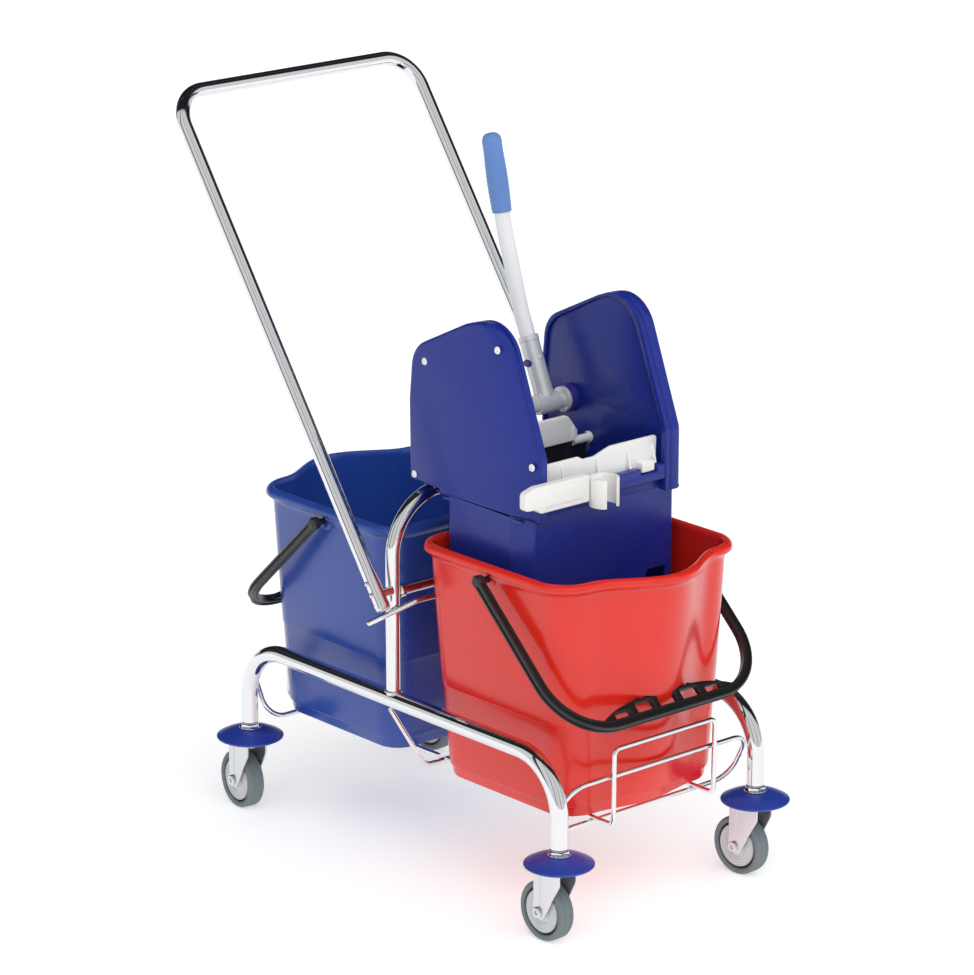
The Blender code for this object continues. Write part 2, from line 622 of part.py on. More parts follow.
def wringer_moving():
    """The lever with its shaft and gears, and the press plate that it drives."""
    y, z = LEVER_AXIS
    flat = math.radians(90)
    at_axis = (0, y, z)
    end = 0.1158
    shaft = [(0, -end), (0.0060, -end), (0.0060, -0.0915), (0.0095, -0.0915), (0.0095, 0.083), (0.016, 0.084)]
    shaft += [(0.016, 0.0895), (0.0095, 0.0915), (0.0060, 0.0915), (0.0060, end), (0, end)]
    place("lever_shaft", turned("lever_shaft", shaft, 16), LEVER_WHITE, None, at_axis, (0, flat, 0))
    ring = [(0.0063, 0.0918), (0.0175, 0.0918), (0.0175, CHEEK_IN - GAP), (0.0063, CHEEK_IN - GAP)]
    for side, turn in (("left", -flat), ("right", flat)):
        bush = turned("shaft_bush", ring, 16, True)
        place("shaft_bush_" + side, bush, NYLON_BLUE, None, at_axis, (0, turn, 0))
    lean = Vector((0.0345, 0.079)).normalized()
    base = Vector((LEVER_X, y, z))
    along = Vector((0, lean.x, lean.y))
    lever = [base + along * 0.047, base + along * 0.118, base + Vector((0, 0.078, 0.205))]
    lever += [base + Vector((0, 0.103, 0.318))]
    path = fillet(lever, 0.160, steps=5)
    tube = rod("lever_tube", path, 0.0100, LEVER_WHITE)
    socket_end = base + along * 0.086
    blank = rod("lever_socket", [base + along * 0.004, socket_end], 0.0128, ZINC, sides=16)
    cut(blank, cylinder_x("shaft_room", 0.0098, -0.02 + LEVER_X, 0.02 + LEVER_X, y, z, 20))
    to_lever = Vector((0, 0, 1)).rotation_difference(along).to_matrix().to_4x4()
    seat = turned("tube_room", [(0, 0.0465), (0.0103, 0.0465), (0.0103, 0.12), (0, 0.12)], 16)
    seat.transform(Matrix.Translation(base) @ to_lever)
    cut(blank, seat)
    button_at = base + along * 0.062
    for piece in (blank, tube):
        room = cylinder_x("button_room", 0.0052, LEVER_X - 0.02, LEVER_X - 0.004, button_at.y, button_at.z, 14)
        cut(piece, room)
    low, high = LEVER_X - 0.0148, LEVER_X - 0.0104
    button = cylinder_x("lever_button", 0.0047, low, high, button_at.y, button_at.z, 14)
    place("lever_button", button, NYLON_BLUE)
    top = lever[3]
    grip_lean = (lever[3] - lever[2]).normalized()
    grip = [(0.0110, -0.094), (0.0122, -0.094), (0.0134, -0.050), (0.0126, -0.008), (0.0085, 0.004)]
    grip += [(0, 0.005), (0, GAP), (0.0110, GAP)]
    shape = turned("lever_grip", grip, 16, True)
    to_grip = Vector((0, 0, 1)).rotation_difference(grip_lean).to_matrix().to_4x4()
    shape.transform(Matrix.Translation(top) @ to_grip)
    place("lever_grip", shape, GRIP_BLUE)
    press_y, press_z = press_axis()
    toward_press = math.radians(PRESS_DIRECTION_DEG)
    pinion = [(y + a, z + b) for a, b in gear_outline(PINION_TEETH, PINION_R, toward_press)]
    gear = place("lever_pinion", prism_x("lever_pinion", pinion, 0.1048, 0.1148), WHITE)
    cut(gear, cylinder_x("pinion_bore", 0.0063, 0.10, 0.12, y, z, 16))
    teeth = round(PINION_TEETH * SECTOR_R / PINION_R)
    tooth = 2 * math.pi / teeth
    toward_shaft = toward_press - math.pi
    rim = gear_outline(teeth, SECTOR_R, toward_shaft - 0.5 * tooth, 0, 5)
    sector = [(press_y + a, press_z + b) for a, b in rim]
    hub_turn = [toward_shaft + 1.35 + k * (2 * math.pi - 2.1) / 8 for k in range(9)]
    sector += [(press_y + 0.011 * math.cos(a), press_z + 0.011 * math.sin(a)) for a in hub_turn]
    swing = place("press_sector", prism_x("press_sector", sector, 0.1048, 0.1148), WHITE)
    cut(swing, cylinder_x("sector_bore", 0.0063, 0.10, 0.12, press_y, press_z, 16))
    half = 0.096
    plate = [(press_y - 0.0045, 0.560), (press_y + 0.0030, 0.560), (press_y + 0.0045, press_z)]
    plate += [(-0.0375, 0.400), (-0.0445, 0.400), (press_y - 0.0045, press_z)]
    press = place("press_plate", prism_x("press_plate", plate, -half, half), WHITE)
    join(press, cylinder_x("press_stub", 0.0060, -end, end, press_y, press_z, 16))


# ---------------------------------------------------------------- build
side_rail("side_rail_left", -STEM_X)
side_rail("side_rail_right", STEM_X)
centre_hoop()
handle_rest_rod()
for place_name, back, way in (("front", RED_BACK_Y, -1), ("rear", BLUE_BACK_Y, 1)):
    rack_loop("rack_loop_" + place_name, back, way)
    guard_runner("guard_runner_" + place_name, back, way)
cradle_wire()
push_handle()
for lengthwise, sign_y in (("front", -1), ("rear", 1)):
    for across, sign_x in (("left", -1), ("right", 1)):
        caster(lengthwise + "_" + across, sign_x * STEM_X, sign_y * STEM_Y)
bucket("bucket_red", RED_BACK_Y, -1, RED)
bucket("bucket_blue", BLUE_BACK_Y, 1, BLUE)
bail("bail_red", RED_BACK_Y, -1)
bail("bail_blue", BLUE_BACK_Y, 1)
wringer_body()
wringer_cover("left", -1)
wringer_cover("right", 1)
wringer_front()
wringer_moving()
bpy.context.view_layer.update()
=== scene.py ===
"""The looks of a double-bucket mop trolley: chrome frame, casters, pails, bails and lever wringer."""
import json
import math

import bmesh
import bpy
from bpy.props import FloatProperty, FloatVectorProperty, PointerProperty
from mathutils import Matrix, Vector


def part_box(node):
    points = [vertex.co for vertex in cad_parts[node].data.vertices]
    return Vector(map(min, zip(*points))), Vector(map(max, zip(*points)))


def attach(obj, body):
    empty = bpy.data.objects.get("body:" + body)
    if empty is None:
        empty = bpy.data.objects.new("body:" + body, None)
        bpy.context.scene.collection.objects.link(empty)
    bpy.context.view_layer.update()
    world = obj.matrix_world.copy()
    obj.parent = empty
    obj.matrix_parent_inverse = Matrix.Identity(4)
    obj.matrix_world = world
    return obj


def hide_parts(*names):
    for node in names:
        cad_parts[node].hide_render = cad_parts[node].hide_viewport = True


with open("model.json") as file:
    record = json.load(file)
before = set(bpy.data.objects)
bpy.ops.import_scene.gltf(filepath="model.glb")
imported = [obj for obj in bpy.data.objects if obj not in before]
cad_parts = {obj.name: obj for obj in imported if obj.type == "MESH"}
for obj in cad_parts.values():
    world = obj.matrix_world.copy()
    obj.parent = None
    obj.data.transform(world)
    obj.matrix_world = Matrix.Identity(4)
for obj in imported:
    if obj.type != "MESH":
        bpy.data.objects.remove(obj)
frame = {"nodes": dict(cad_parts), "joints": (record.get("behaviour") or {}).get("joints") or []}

bl_info = {
    "name": "Mop Trolley",
    "version": (1, 0, 0),
    "blender": (4, 5, 0),
    "location": "3D View > Sidebar > Mop Trolley",
    "description": "Builds a double-bucket mop trolley with a lever wringer around its working frame",
    "category": "Object",
}

CORNERS = ("front_left", "front_right", "rear_left", "rear_right")
SIDES = (("left", -1), ("right", 1))
RIGHT_ANGLE = math.radians(90)
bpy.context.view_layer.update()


# ---------------------------------------------------------------- places read from the frame
def middle(node):
    low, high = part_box(node)
    return (low + high) / 2


def reach(node):
    low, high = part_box(node)
    return high - low


def joint_named(name):
    return next(joint for joint in frame["joints"] if joint["name"] == name)


CART_Y = middle("side_rail_left").y
STEM_X = middle("side_rail_right").x
RAIL_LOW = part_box("side_rail_right")[0]
HOOP_Y = middle("centre_hoop").y - CART_Y
HOOP_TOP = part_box("centre_hoop")[1].z
RIM_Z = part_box("bucket_red")[1].z
FLOOR_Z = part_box("bucket_red")[0].z
RED_BACK_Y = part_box("bucket_red")[1].y - CART_Y
BLUE_BACK_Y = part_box("bucket_blue")[0].y - CART_Y
PAIL_LONG = reach("bucket_red").y
PAIL_HALF = reach("bucket_red").x / 2
SHAFT = middle("shaft_bush_left")
SHAFT_Y, SHAFT_Z = SHAFT.y - CART_Y, SHAFT.z
LEVER_X = middle("lever_tube").x
PRESS_Y, PRESS_Z = joint_named("press_swing")["pos_m"][1] - CART_Y, joint_named("press_swing")["pos_m"][2]
COVER_LOW, COVER_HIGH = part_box("wringer_cover_left")


# ---------------------------------------------------------------- settings
class TrolleyTubes(bpy.types.PropertyGroup):
    rail_radius: FloatProperty(name="Rail radius", description="Outside radius of the frame's side rails",
                               default=0.011, unit="LENGTH", precision=4)
    rail_bend: FloatProperty(name="Rail bend", description="Centre-line radius where a rail turns down to a leg",
                             default=0.070, unit="LENGTH", precision=3)
    hoop_radius: FloatProperty(name="Hoop radius", description="Outside radius of the hoop between the pails",
                               default=0.009, unit="LENGTH", precision=4)
    handle_radius: FloatProperty(name="Handle radius", description="Outside radius of the push handle",
                                 default=0.0092, unit="LENGTH", precision=4)
    wire_radius: FloatProperty(name="Wire radius", description="Radius of the racks' wire",
                               default=0.003, unit="LENGTH", precision=4)


class TrolleyColours(bpy.types.PropertyGroup):
    red: FloatVectorProperty(name="Red pail", description="Colour of the pail under the wringer",
                             default=(0.72, 0.020, 0.010), subtype="COLOR", min=0, max=1)
    blue: FloatVectorProperty(name="Blue mouldings", description="Colour of the wringer's mouldings",
                              default=(0.010, 0.024, 0.245), subtype="COLOR", min=0, max=1)
    pail_blue: FloatVectorProperty(name="Blue pail", description="Colour of the pail under the handle",
                                   default=(0.018, 0.060, 0.330), subtype="COLOR", min=0, max=1)
    bumper: FloatVectorProperty(name="Bumpers", description="Colour of the bumper discs over the casters",
                                default=(0.018, 0.046, 0.320), subtype="COLOR", min=0, max=1)
    grip: FloatVectorProperty(name="Lever grip", description="Colour of the grip on the lever",
                              default=(0.115, 0.240, 0.560), subtype="COLOR", min=0, max=1)
    tyre: FloatVectorProperty(name="Tyres", description="Colour of the casters' tyres",
                              default=(0.165, 0.200, 0.212), subtype="COLOR", min=0, max=1)


class TrolleyStage(bpy.types.PropertyGroup):
    camera_turn: FloatProperty(name="Camera turn", description="Turn of the camera about the vertical",
                               default=math.radians(-41.28), subtype="ANGLE")
    camera_tilt: FloatProperty(name="Camera tilt", description="Camera's angle above the horizon",
                               default=math.radians(16.88), subtype="ANGLE")
    lens: FloatProperty(name="Lens", description="Focal length of the camera",
                        default=163.5, unit="CAMERA")
    light: FloatProperty(name="Light", description="Strength of the soft light over the stage",
                         default=1.0, min=0)


# ---------------------------------------------------------------- materials
FINISHES = {}


def mix_in(tree, shade, factor, colour):
    """A shade that turns to a plain colour as a factor goes from nothing to one."""
    node = tree.nodes.new("ShaderNodeMixRGB")
    node.inputs["Color2"].default_value = (*colour, 1)
    tree.links.new(factor, node.inputs["Fac"])
    tree.links.new(shade, node.inputs["Color1"])
    return node.outputs["Color"]


def finish(name, colour, roughness, metallic=0.0, grain=0.0, grain_scale=900.0, mottle=0.04, polish=0.04,
           coat=0.0, wear=0.0, specular=0.5):
    """One finish: a mottled colour, uneven polish and a fine grain, all from noise in the object's space."""
    material = bpy.data.materials.new(name)
    material.use_nodes = True
    nodes, links = material.node_tree.nodes, material.node_tree.links
    shader = nodes["Principled BSDF"]
    shader.inputs["Metallic"].default_value = metallic
    shader.inputs["Coat Weight"].default_value = coat
    shader.inputs["Coat Roughness"].default_value = 0.06
    shader.inputs["Specular IOR Level"].default_value = specular
    place = nodes.new("ShaderNodeTexCoord")

    def noise(scale, detail):
        texture = nodes.new("ShaderNodeTexNoise")
        texture.inputs["Scale"].default_value = scale
        texture.inputs["Detail"].default_value = detail
        links.new(place.outputs["Object"], texture.inputs["Vector"])
        return texture.outputs["Fac"]

    tint = nodes.new("ShaderNodeValToRGB")
    tint.color_ramp.elements[0].position = 0.30
    tint.color_ramp.elements[1].position = 0.72
    tint.color_ramp.elements[0].color = (*[c * (1 - mottle) for c in colour], 1)
    tint.color_ramp.elements[1].color = (*[min(1, c * (1 + mottle)) for c in colour], 1)
    links.new(noise(14.0, 5.0), tint.inputs["Fac"])
    shade = tint.outputs["Color"]
    if wear:
        edge = nodes.new("ShaderNodeNewGeometry")
        sharp = nodes.new("ShaderNodeMapRange")
        sharp.inputs["From Min"].default_value = 0.52
        sharp.inputs["From Max"].default_value = 0.64
        sharp.inputs["To Max"].default_value = wear
        links.new(edge.outputs["Pointiness"], sharp.inputs["Value"])
        worn = [min(1, c * 0.7 + 0.25) for c in colour]
        shade = mix_in(material.node_tree, shade, sharp.outputs["Result"], worn)
    links.new(shade, shader.inputs["Base Color"])
    sheen = nodes.new("ShaderNodeMapRange")
    sheen.inputs["To Min"].default_value = max(0.0, roughness - polish)
    sheen.inputs["To Max"].default_value = roughness + polish
    links.new(noise(60.0, 6.0), sheen.inputs["Value"])
    links.new(sheen.outputs["Result"], shader.inputs["Roughness"])
    if grain:
        relief = nodes.new("ShaderNodeBump")
        relief.inputs["Strength"].default_value = grain
        relief.inputs["Distance"].default_value = 0.0004
        links.new(noise(grain_scale, 3.0), relief.inputs["Height"])
        links.new(relief.outputs["Normal"], shader.inputs["Normal"])
    FINISHES[name] = material


def make_finishes(colours):
    finish("chrome_plate", (0.80, 0.81, 0.83), 0.040, 1.0, mottle=0.01, polish=0.015)
    finish("zinc_plate", (0.72, 0.73, 0.75), 0.30, 1.0, grain=0.12, grain_scale=1400.0, mottle=0.05,
           polish=0.07)
    finish("red_moulding", tuple(colours.red), 0.22, grain=0.03, coat=0.22, wear=0.08)
    finish("blue_moulding", tuple(colours.blue), 0.28, grain=0.06, wear=0.10, specular=0.32)
    finish("pail_blue_moulding", tuple(colours.pail_blue), 0.26, grain=0.05, coat=0.10, wear=0.10)
    finish("bumper_moulding", tuple(colours.bumper), 0.36, grain=0.08, coat=0.10, wear=0.10)
    # black of the bails; on the moving jaw's lower plate the same black stands in for deep shade: painted shade
    finish("black_and_shade_moulding", (0.010, 0.010, 0.011), 0.34, grain=0.10, mottle=0.12, wear=0.06)
    finish("white_moulding", (0.84, 0.84, 0.82), 0.38, grain=0.06, mottle=0.015, wear=0.02)
    finish("white_coat", (0.82, 0.83, 0.85), 0.26, grain=0.05, mottle=0.01, coat=0.2)
    finish("silver_coat", (0.70, 0.72, 0.73), 0.32, 0.35, grain=0.10, mottle=0.04)
    finish("grip_moulding", tuple(colours.grip), 0.42, grain=0.16, grain_scale=700.0, mottle=0.06)
    finish("nylon", (0.030, 0.028, 0.230), 0.36, grain=0.08, mottle=0.06)
    finish("hub_moulding", (0.62, 0.64, 0.65), 0.42, grain=0.10, mottle=0.03, wear=0.05)
    finish("tyre_rubber", tuple(colours.tyre), 0.74, grain=0.35, grain_scale=500.0, mottle=0.09, polish=0.08)
    # near-black standing in for the shadow in the gap between hub and tyre: painted shade
    finish("shadow_gap_black", (0.008, 0.008, 0.008), 0.62, grain=0.2, mottle=0.15)


# ---------------------------------------------------------------- making pieces
def add_object(name, data):
    thing = bpy.data.objects.new(name, data)
    bpy.context.scene.collection.objects.link(thing)
    return thing


def to_mesh(name, bm):
    """A mesh from a bmesh, which is freed."""
    mesh = bpy.data.meshes.new(name)
    bm.to_mesh(mesh)
    bm.free()
    return mesh


def pour(mesh, bm):
    """Adds a mesh to a bmesh and removes it."""
    bm.from_mesh(mesh)
    bpy.data.meshes.remove(mesh)


def final_mesh(thing):
    """The mesh of a curve or of an object with modifiers."""
    bpy.context.view_layer.update()
    return bpy.data.meshes.new_from_object(thing.evaluated_get(bpy.context.evaluated_depsgraph_get()))


def add_piece(name, bm, material, body, replaced=(), cart=True, sharp_deg=32.0):
    """A finished piece from a bmesh: welded, shaded, painted and riding on its body."""
    bmesh.ops.remove_doubles(bm, verts=bm.verts, dist=0.000002)
    bmesh.ops.recalc_face_normals(bm, faces=bm.faces)
    mesh = to_mesh(name, bm)
    mesh.shade_smooth()
    mesh.set_sharp_from_angle(angle=math.radians(sharp_deg))
    if cart:
        mesh.transform(Matrix.Translation((0, CART_Y, 0)))
    mesh.materials.append(FINISHES[material])
    piece = add_object(name, mesh)
    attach(piece, body)
    if replaced:
        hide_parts(*replaced)


def keep_cad(material, *nodes):
    """CAD pieces whose shape is right already get only their finish."""
    for node in nodes:
        mesh = frame["nodes"][node].data
        mesh.materials.clear()
        mesh.materials.append(FINISHES[material])


def fillet(points, radius, closed=False, steps=14):
    """A path of straight runs with each corner rounded to an arc."""
    points = [Vector(p) for p in points]
    path = []
    for i, corner in enumerate(points):
        if not closed and i in (0, len(points) - 1):
            path.append(corner)
            continue
        back = (points[i - 1] - corner).normalized()
        ahead = (points[(i + 1) % len(points)] - corner).normalized()
        half = back.angle(ahead) / 2
        centre = corner + (back + ahead).normalized() * (radius / math.sin(half))
        first = corner + back * (radius / math.tan(half)) - centre
        last = corner + ahead * (radius / math.tan(half)) - centre
        axis = first.cross(last).normalized()
        for k in range(steps + 1):
            path.append(centre + Matrix.Rotation((math.pi - 2 * half) * k / steps, 3, axis) @ first)
    return path


def skin_over(bm, rings, closed=False):
    """Faces between rings of points; open ends are capped."""
    rows = [[bm.verts.new(point) for point in ring] for ring in rings]
    for low, high in zip(rows, rows[1:] + (rows[:1] if closed else [])):
        for k in range(len(low)):
            after = (k + 1) % len(low)
            bm.faces.new([low[k], low[after], high[after], high[k]])
    if not closed:
        bm.faces.new(list(reversed(rows[0])))
        bm.faces.new(rows[-1])


def sweep(bm, path, radius, sides=24, closed=False, edge=0.0006):
    """A round bar along a path; open ends get a small chamfer."""
    path = [Vector(p) for p in path]
    count = len(path)
    rings, previous, across = [], None, None
    for i, here in enumerate(path):
        before = path[i - 1] if closed or i > 0 else here
        after = path[(i + 1) % count] if closed or i < count - 1 else here
        onward = ((after - here).normalized() + (here - before).normalized()).normalized()
        if previous is None:
            across = onward.orthogonal().normalized()
        else:
            across = (previous.rotation_difference(onward) @ across).normalized()
        previous = onward
        other = onward.cross(across)
        spokes = [across * u + other * v for u, v in circle((0, 0), 1, sides)]
        if not closed and i == 0:
            rings.append([here + spoke * (radius - edge) for spoke in spokes])
            here = here + onward * edge
        if not closed and i == count - 1:
            here = here - onward * edge
        rings.append([here + spoke * radius for spoke in spokes])
        if not closed and i == count - 1:
            rings.append([here + onward * edge + spoke * (radius - edge) for spoke in spokes])
    skin_over(bm, rings, closed)


def tube(name, path, radius, body, replaced=(), material="chrome_plate", sides=24, closed=False):
    bm = bmesh.new()
    sweep(bm, path, radius, sides, closed)
    add_piece(name, bm, material, body, replaced)


def lathe(bm, profile, steps=48, matrix=Matrix(), bored=False):
    """A turned shape about Z from (radius, height) points, set in place by a matrix."""
    rings = []
    for radius, height in profile:
        ring = circle((0, 0), radius, steps) if radius else [(0, 0)]
        rings.append([bm.verts.new(matrix @ Vector((x, y, height))) for x, y in ring])
    pairs = list(zip(rings, rings[1:]))
    if bored:
        pairs.append((rings[-1], rings[0]))
    for low, high in pairs:
        if len(low) == len(high) == 1:
            continue
        for k in range(steps):
            after = (k + 1) % steps
            corners = [low[k % len(low)], low[after % len(low)], high[after % len(high)], high[k % len(high)]]
            bm.faces.new(list(dict.fromkeys(corners)))


def circle(centre, radius, steps, stretch=(1, 1)):
    """Points round a circle, or round an oval when stretched."""
    wide, tall = radius * stretch[0], radius * stretch[1]
    turn = [2 * math.pi * k / steps for k in range(steps)]
    return [(centre[0] + wide * math.cos(a), centre[1] + tall * math.sin(a)) for a in turn]


def arc_points(centre, radius, start_deg, end_deg, steps=8):
    """Points on an arc, for turned profiles and outlines."""
    turn = [math.radians(start_deg + (end_deg - start_deg) * k / steps) for k in range(steps + 1)]
    return [(centre[0] + radius * math.cos(a), centre[1] + radius * math.sin(a)) for a in turn]


def rounded(corners, steps=8):
    """A closed outline from (a, b, radius) corners."""
    outline = []
    for i, (a, b, radius) in enumerate(corners):
        here = Vector((a, b))
        if radius == 0:
            outline.append((a, b))
            continue
        back = (Vector(corners[i - 1][:2]) - here).normalized()
        ahead = (Vector(corners[(i + 1) % len(corners)][:2]) - here).normalized()
        half = back.angle(ahead) / 2
        centre = here + (back + ahead).normalized() * (radius / math.sin(half))
        start = here + back * (radius / math.tan(half)) - centre
        sweep_angle = start.angle_signed(here + ahead * (radius / math.tan(half)) - centre)
        for k in range(steps + 1):
            outline.append(tuple(centre + Matrix.Rotation(-sweep_angle * k / steps, 2) @ start))
    return outline


def box_corners(low, high, radius=0, steps=8):
    """The outline of a rectangle between two corners, rounded when a radius is given."""
    return rounded([(low[0], low[1], radius), (high[0], low[1], radius), (high[0], high[1], radius),
                    (low[0], high[1], radius)], steps)


def plate(bm, outline, matrix, thick, soft=0.0008, holes=()):
    """A flat plate with softened edges and through holes; the matrix carries its middle plane into place."""
    curve = bpy.data.curves.new("plate", "CURVE")
    curve.dimensions = "2D"
    curve.fill_mode = "BOTH"
    curve.extrude = thick / 2 - soft
    curve.bevel_depth = soft
    curve.bevel_resolution = 2
    curve.offset = -soft
    for loop in (outline, *holes):
        spline = curve.splines.new("POLY")
        spline.points.add(len(loop) - 1)
        for point, (a, b) in zip(spline.points, loop):
            point.co = (a, b, 0, 1)
        spline.use_cyclic_u = True
    holder = add_object("plate", curve)
    mesh = final_mesh(holder)
    bpy.data.objects.remove(holder)
    bpy.data.curves.remove(curve)
    mesh.transform(matrix)
    pour(mesh, bm)


def facing_x(x):
    """Outline (y, z) drawn in a plane across the cart's width."""
    return Matrix(((0, 0, 1, x), (1, 0, 0, 0), (0, 1, 0, 0), (0, 0, 0, 1)))


def facing_y(y):
    """Outline (x, z) drawn in a plane across the cart's length."""
    return Matrix(((1, 0, 0, 0), (0, 0, -1, y), (0, 1, 0, 0), (0, 0, 0, 1)))


def along(direction, origin=(0, 0, 0)):
    """Carries +Z onto a direction, from an origin."""
    turn = Vector((0, 0, 1)).rotation_difference(Vector(direction)).to_matrix().to_4x4()
    return Matrix.Translation(origin) @ turn


# ---------------------------------------------------------------- frame
RAIL_Z = 0.228
STEM_Y = middle("caster_stem_rear_left").y - CART_Y
HOOP_BEND = 0.075
CROSSBAR_Z = middle("hoop_crossbar").z
HANDLE_X = middle("handle_bolt_right").x - 0.0106
HANDLE_FOOT = Vector((-0.008, 0.355))
HANDLE_TOP = Vector((0.393, 0.927))
HANDLE_BEND = 0.045
WIRE_FACET = math.cos(math.radians(22.5))       # the frame's wires are eight-sided


def wire_box(node, radius):
    """The box of a wire's centre line, in the cart's own place."""
    low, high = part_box(node)
    shrink = Vector((1, 1, 1)) * radius * WIRE_FACET
    shift = Vector((0, CART_Y, 0))
    return low + shrink - shift, high - shrink - shift


def weld_ring(bm, centre, direction, radius, bead=0.0016):
    """The raised bead of a weld round a tube's end."""
    profile = [(radius + r, z) for r, z in arc_points((0, 0), bead, -150, 150, 10)]
    lathe(bm, profile, 32, along(direction, centre), bored=True)


def build_rails(tubes):
    for side, sign in SIDES:
        x = sign * STEM_X
        corners = [(x, STEM_Y, RAIL_LOW.z), (x, STEM_Y, RAIL_Z), (x, -STEM_Y, RAIL_Z),
                   (x, -STEM_Y, RAIL_LOW.z)]
        tube("rail_" + side, fillet(corners, tubes.rail_bend, steps=20), tubes.rail_radius, "frame",
             ["side_rail_" + side], sides=36)


def build_hoop(tubes):
    foot = RAIL_Z + tubes.rail_radius * 0.55
    top = HOOP_TOP - tubes.hoop_radius
    corners = [(-STEM_X, HOOP_Y, foot), (-STEM_X, HOOP_Y, top), (STEM_X, HOOP_Y, top), (STEM_X, HOOP_Y, foot)]
    tube("hoop", fillet(corners, HOOP_BEND, steps=20), tubes.hoop_radius, "frame", ["centre_hoop"], sides=36)
    half = STEM_X - tubes.hoop_radius * 0.6
    bar = bmesh.new()
    sweep(bar, [(-half, HOOP_Y, CROSSBAR_Z), (half, HOOP_Y, CROSSBAR_Z)], 0.007, 32)
    for sign in (-1, 1):
        start = Vector((sign * (STEM_X - tubes.hoop_radius), HOOP_Y, CROSSBAR_Z))
        collar = [(0.0068, 0), (0.0086, 0), (0.0092, 0.0008), (0.0092, 0.0062), (0.0086, 0.0070),
                  (0.0068, 0.0070)]
        lathe(bar, collar, 32, along((-sign, 0, 0), start), bored=True)
    add_piece("crossbar", bar, "chrome_plate", "frame", ["hoop_crossbar"])
    beads = bmesh.new()
    for sign in (-1, 1):
        at_rail = (sign * STEM_X, HOOP_Y, RAIL_Z + tubes.rail_radius - 0.0002)
        weld_ring(beads, at_rail, (0, 0, 1), tubes.hoop_radius + 0.0006)
    add_piece("hoop_welds", beads, "zinc_plate", "frame")


def build_rest_rod():
    bend_y = HOOP_Y - 0.009 - 0.0035 - 0.0086
    side = [(-0.196, 0.0175, 0.3300), (-0.1845, 0.0035, 0.3400), (-0.143, bend_y, 0.3560)]
    corners = [Vector(p) for p in side] + [Vector((-p[0], p[1], p[2])) for p in reversed(side)]
    bm = bmesh.new()
    sweep(bm, fillet(corners, 0.006, steps=8), 0.0035, 20, edge=0.0014)
    add_piece("rest_rod", bm, "chrome_plate", "frame", ["handle_rest_rod"])


def build_racks(tubes):
    wire = tubes.wire_radius
    for place, end in (("front", -1), ("rear", 1)):
        low, high = wire_box("rack_loop_" + place, wire)
        outer, inner = (low.y, high.y) if end < 0 else (high.y, low.y)
        half = high.x
        corners = [(-half, outer, high.z), (half, outer, high.z), (half, inner, low.z), (-half, inner, low.z)]
        loop = bmesh.new()
        sweep(loop, fillet(corners, 0.028, closed=True), wire, 16, closed=True)
        for sign in (-1, 1):
            leg = Vector((sign * (half + wire * 0.4), (outer + inner) / 2, (low.z + high.z) / 2))
            weld_ring(loop, leg, (0, inner - outer, low.z - high.z), wire * 0.7, 0.0012)
        add_piece("rack_" + place, loop, "chrome_plate", "frame", ["rack_loop_" + place])
        low, high = wire_box("guard_runner_" + place, wire)
        start = HOOP_Y + end * 0.006
        foot, crest = ((low.y + 0.001, low.y) if end < 0 else (high.y - 0.001, high.y))
        corners = [(-high.x, start, low.z), (-high.x, foot, low.z), (-high.x, crest, high.z)]
        corners += [(high.x, crest, high.z), (high.x, foot, low.z), (high.x, start, low.z)]
        tube("guard_" + place, fillet(corners, 0.008, steps=10), wire, "frame", ["guard_runner_" + place],
             sides=16)
    low, high = wire_box("cradle_wire", wire)
    corners = [(-STEM_X, low.y, high.z), (-0.108, low.y, low.z), (0.108, low.y, low.z),
               (STEM_X, low.y, high.z)]
    tube("cradle", fillet(corners, 0.020), wire, "frame", ["cradle_wire"], sides=16)


def build_handle(tubes):
    radius = tubes.handle_radius
    corners = [(-HANDLE_X, *HANDLE_FOOT), (-HANDLE_X, *HANDLE_TOP), (HANDLE_X, *HANDLE_TOP),
               (HANDLE_X, *HANDLE_FOOT)]
    tube("handle", fillet(corners, HANDLE_BEND, steps=20), radius, "frame", ["push_handle"], sides=36)
    lean = (HANDLE_TOP - HANDLE_FOOT).normalized()
    up = Vector((0, lean.x, lean.y))
    bolt_z = middle("handle_bolt_right").z
    bolt_y = middle("handle_bolt_right").y - CART_Y
    for side, sign in SIDES:
        foot = Vector((sign * HANDLE_X, *HANDLE_FOOT))
        ring = bmesh.new()
        band = [(radius - 0.0004, 0.0030), (radius + 0.0006, 0.0034), (radius + 0.0006, 0.0060)]
        band += [(radius - 0.0004, 0.0064)]
        lathe(ring, band, 36, along(up, foot), bored=True)
        plug = [(0, -0.0024), (radius * 0.7, -0.0022), (radius * 0.93, -0.0010), (radius * 0.97, 0.0012),
                (0, 0.0012)]
        lathe(ring, plug, 36, along(up, foot))
        add_piece("handle_end_" + side, ring, "chrome_plate", "frame")
        head = bmesh.new()
        rivet = [(0, 0.0024), (0.0014, 0.0022), (0.0028, 0.0014), (0.0036, 0.0003), (0.0036, -0.0012),
                 (0, -0.0012)]
        for step in (0, 0.015):
            at = Vector((sign * (HANDLE_X + radius), bolt_y, bolt_z)) + up * step
            lathe(head, rivet, 20, along((sign, 0, 0), at))
        add_piece("handle_rivets_" + side, head, "zinc_plate", "frame", ["handle_bolt_" + side])
        ends = [(sign * (STEM_X + tubes.hoop_radius * 0.7), bolt_y, bolt_z)]
        ends += [(sign * (HANDLE_X - radius * 0.7), bolt_y, bolt_z)]
        tube("spacer_" + side, ends, 0.0055, "frame", ["handle_spacer_" + side])


# ---------------------------------------------------------------- casters
WHEEL_R = 0.0375
TRAIL = 0.021
FORK_HALF = 0.0150
FORK_SHEET = 0.0024
FORK_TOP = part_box("fork_front_left")[1].z
DISC_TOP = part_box("bumper_disc_front_left")[1].z
DISC_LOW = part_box("bumper_disc_front_left")[0].z
DISC_R = 0.043


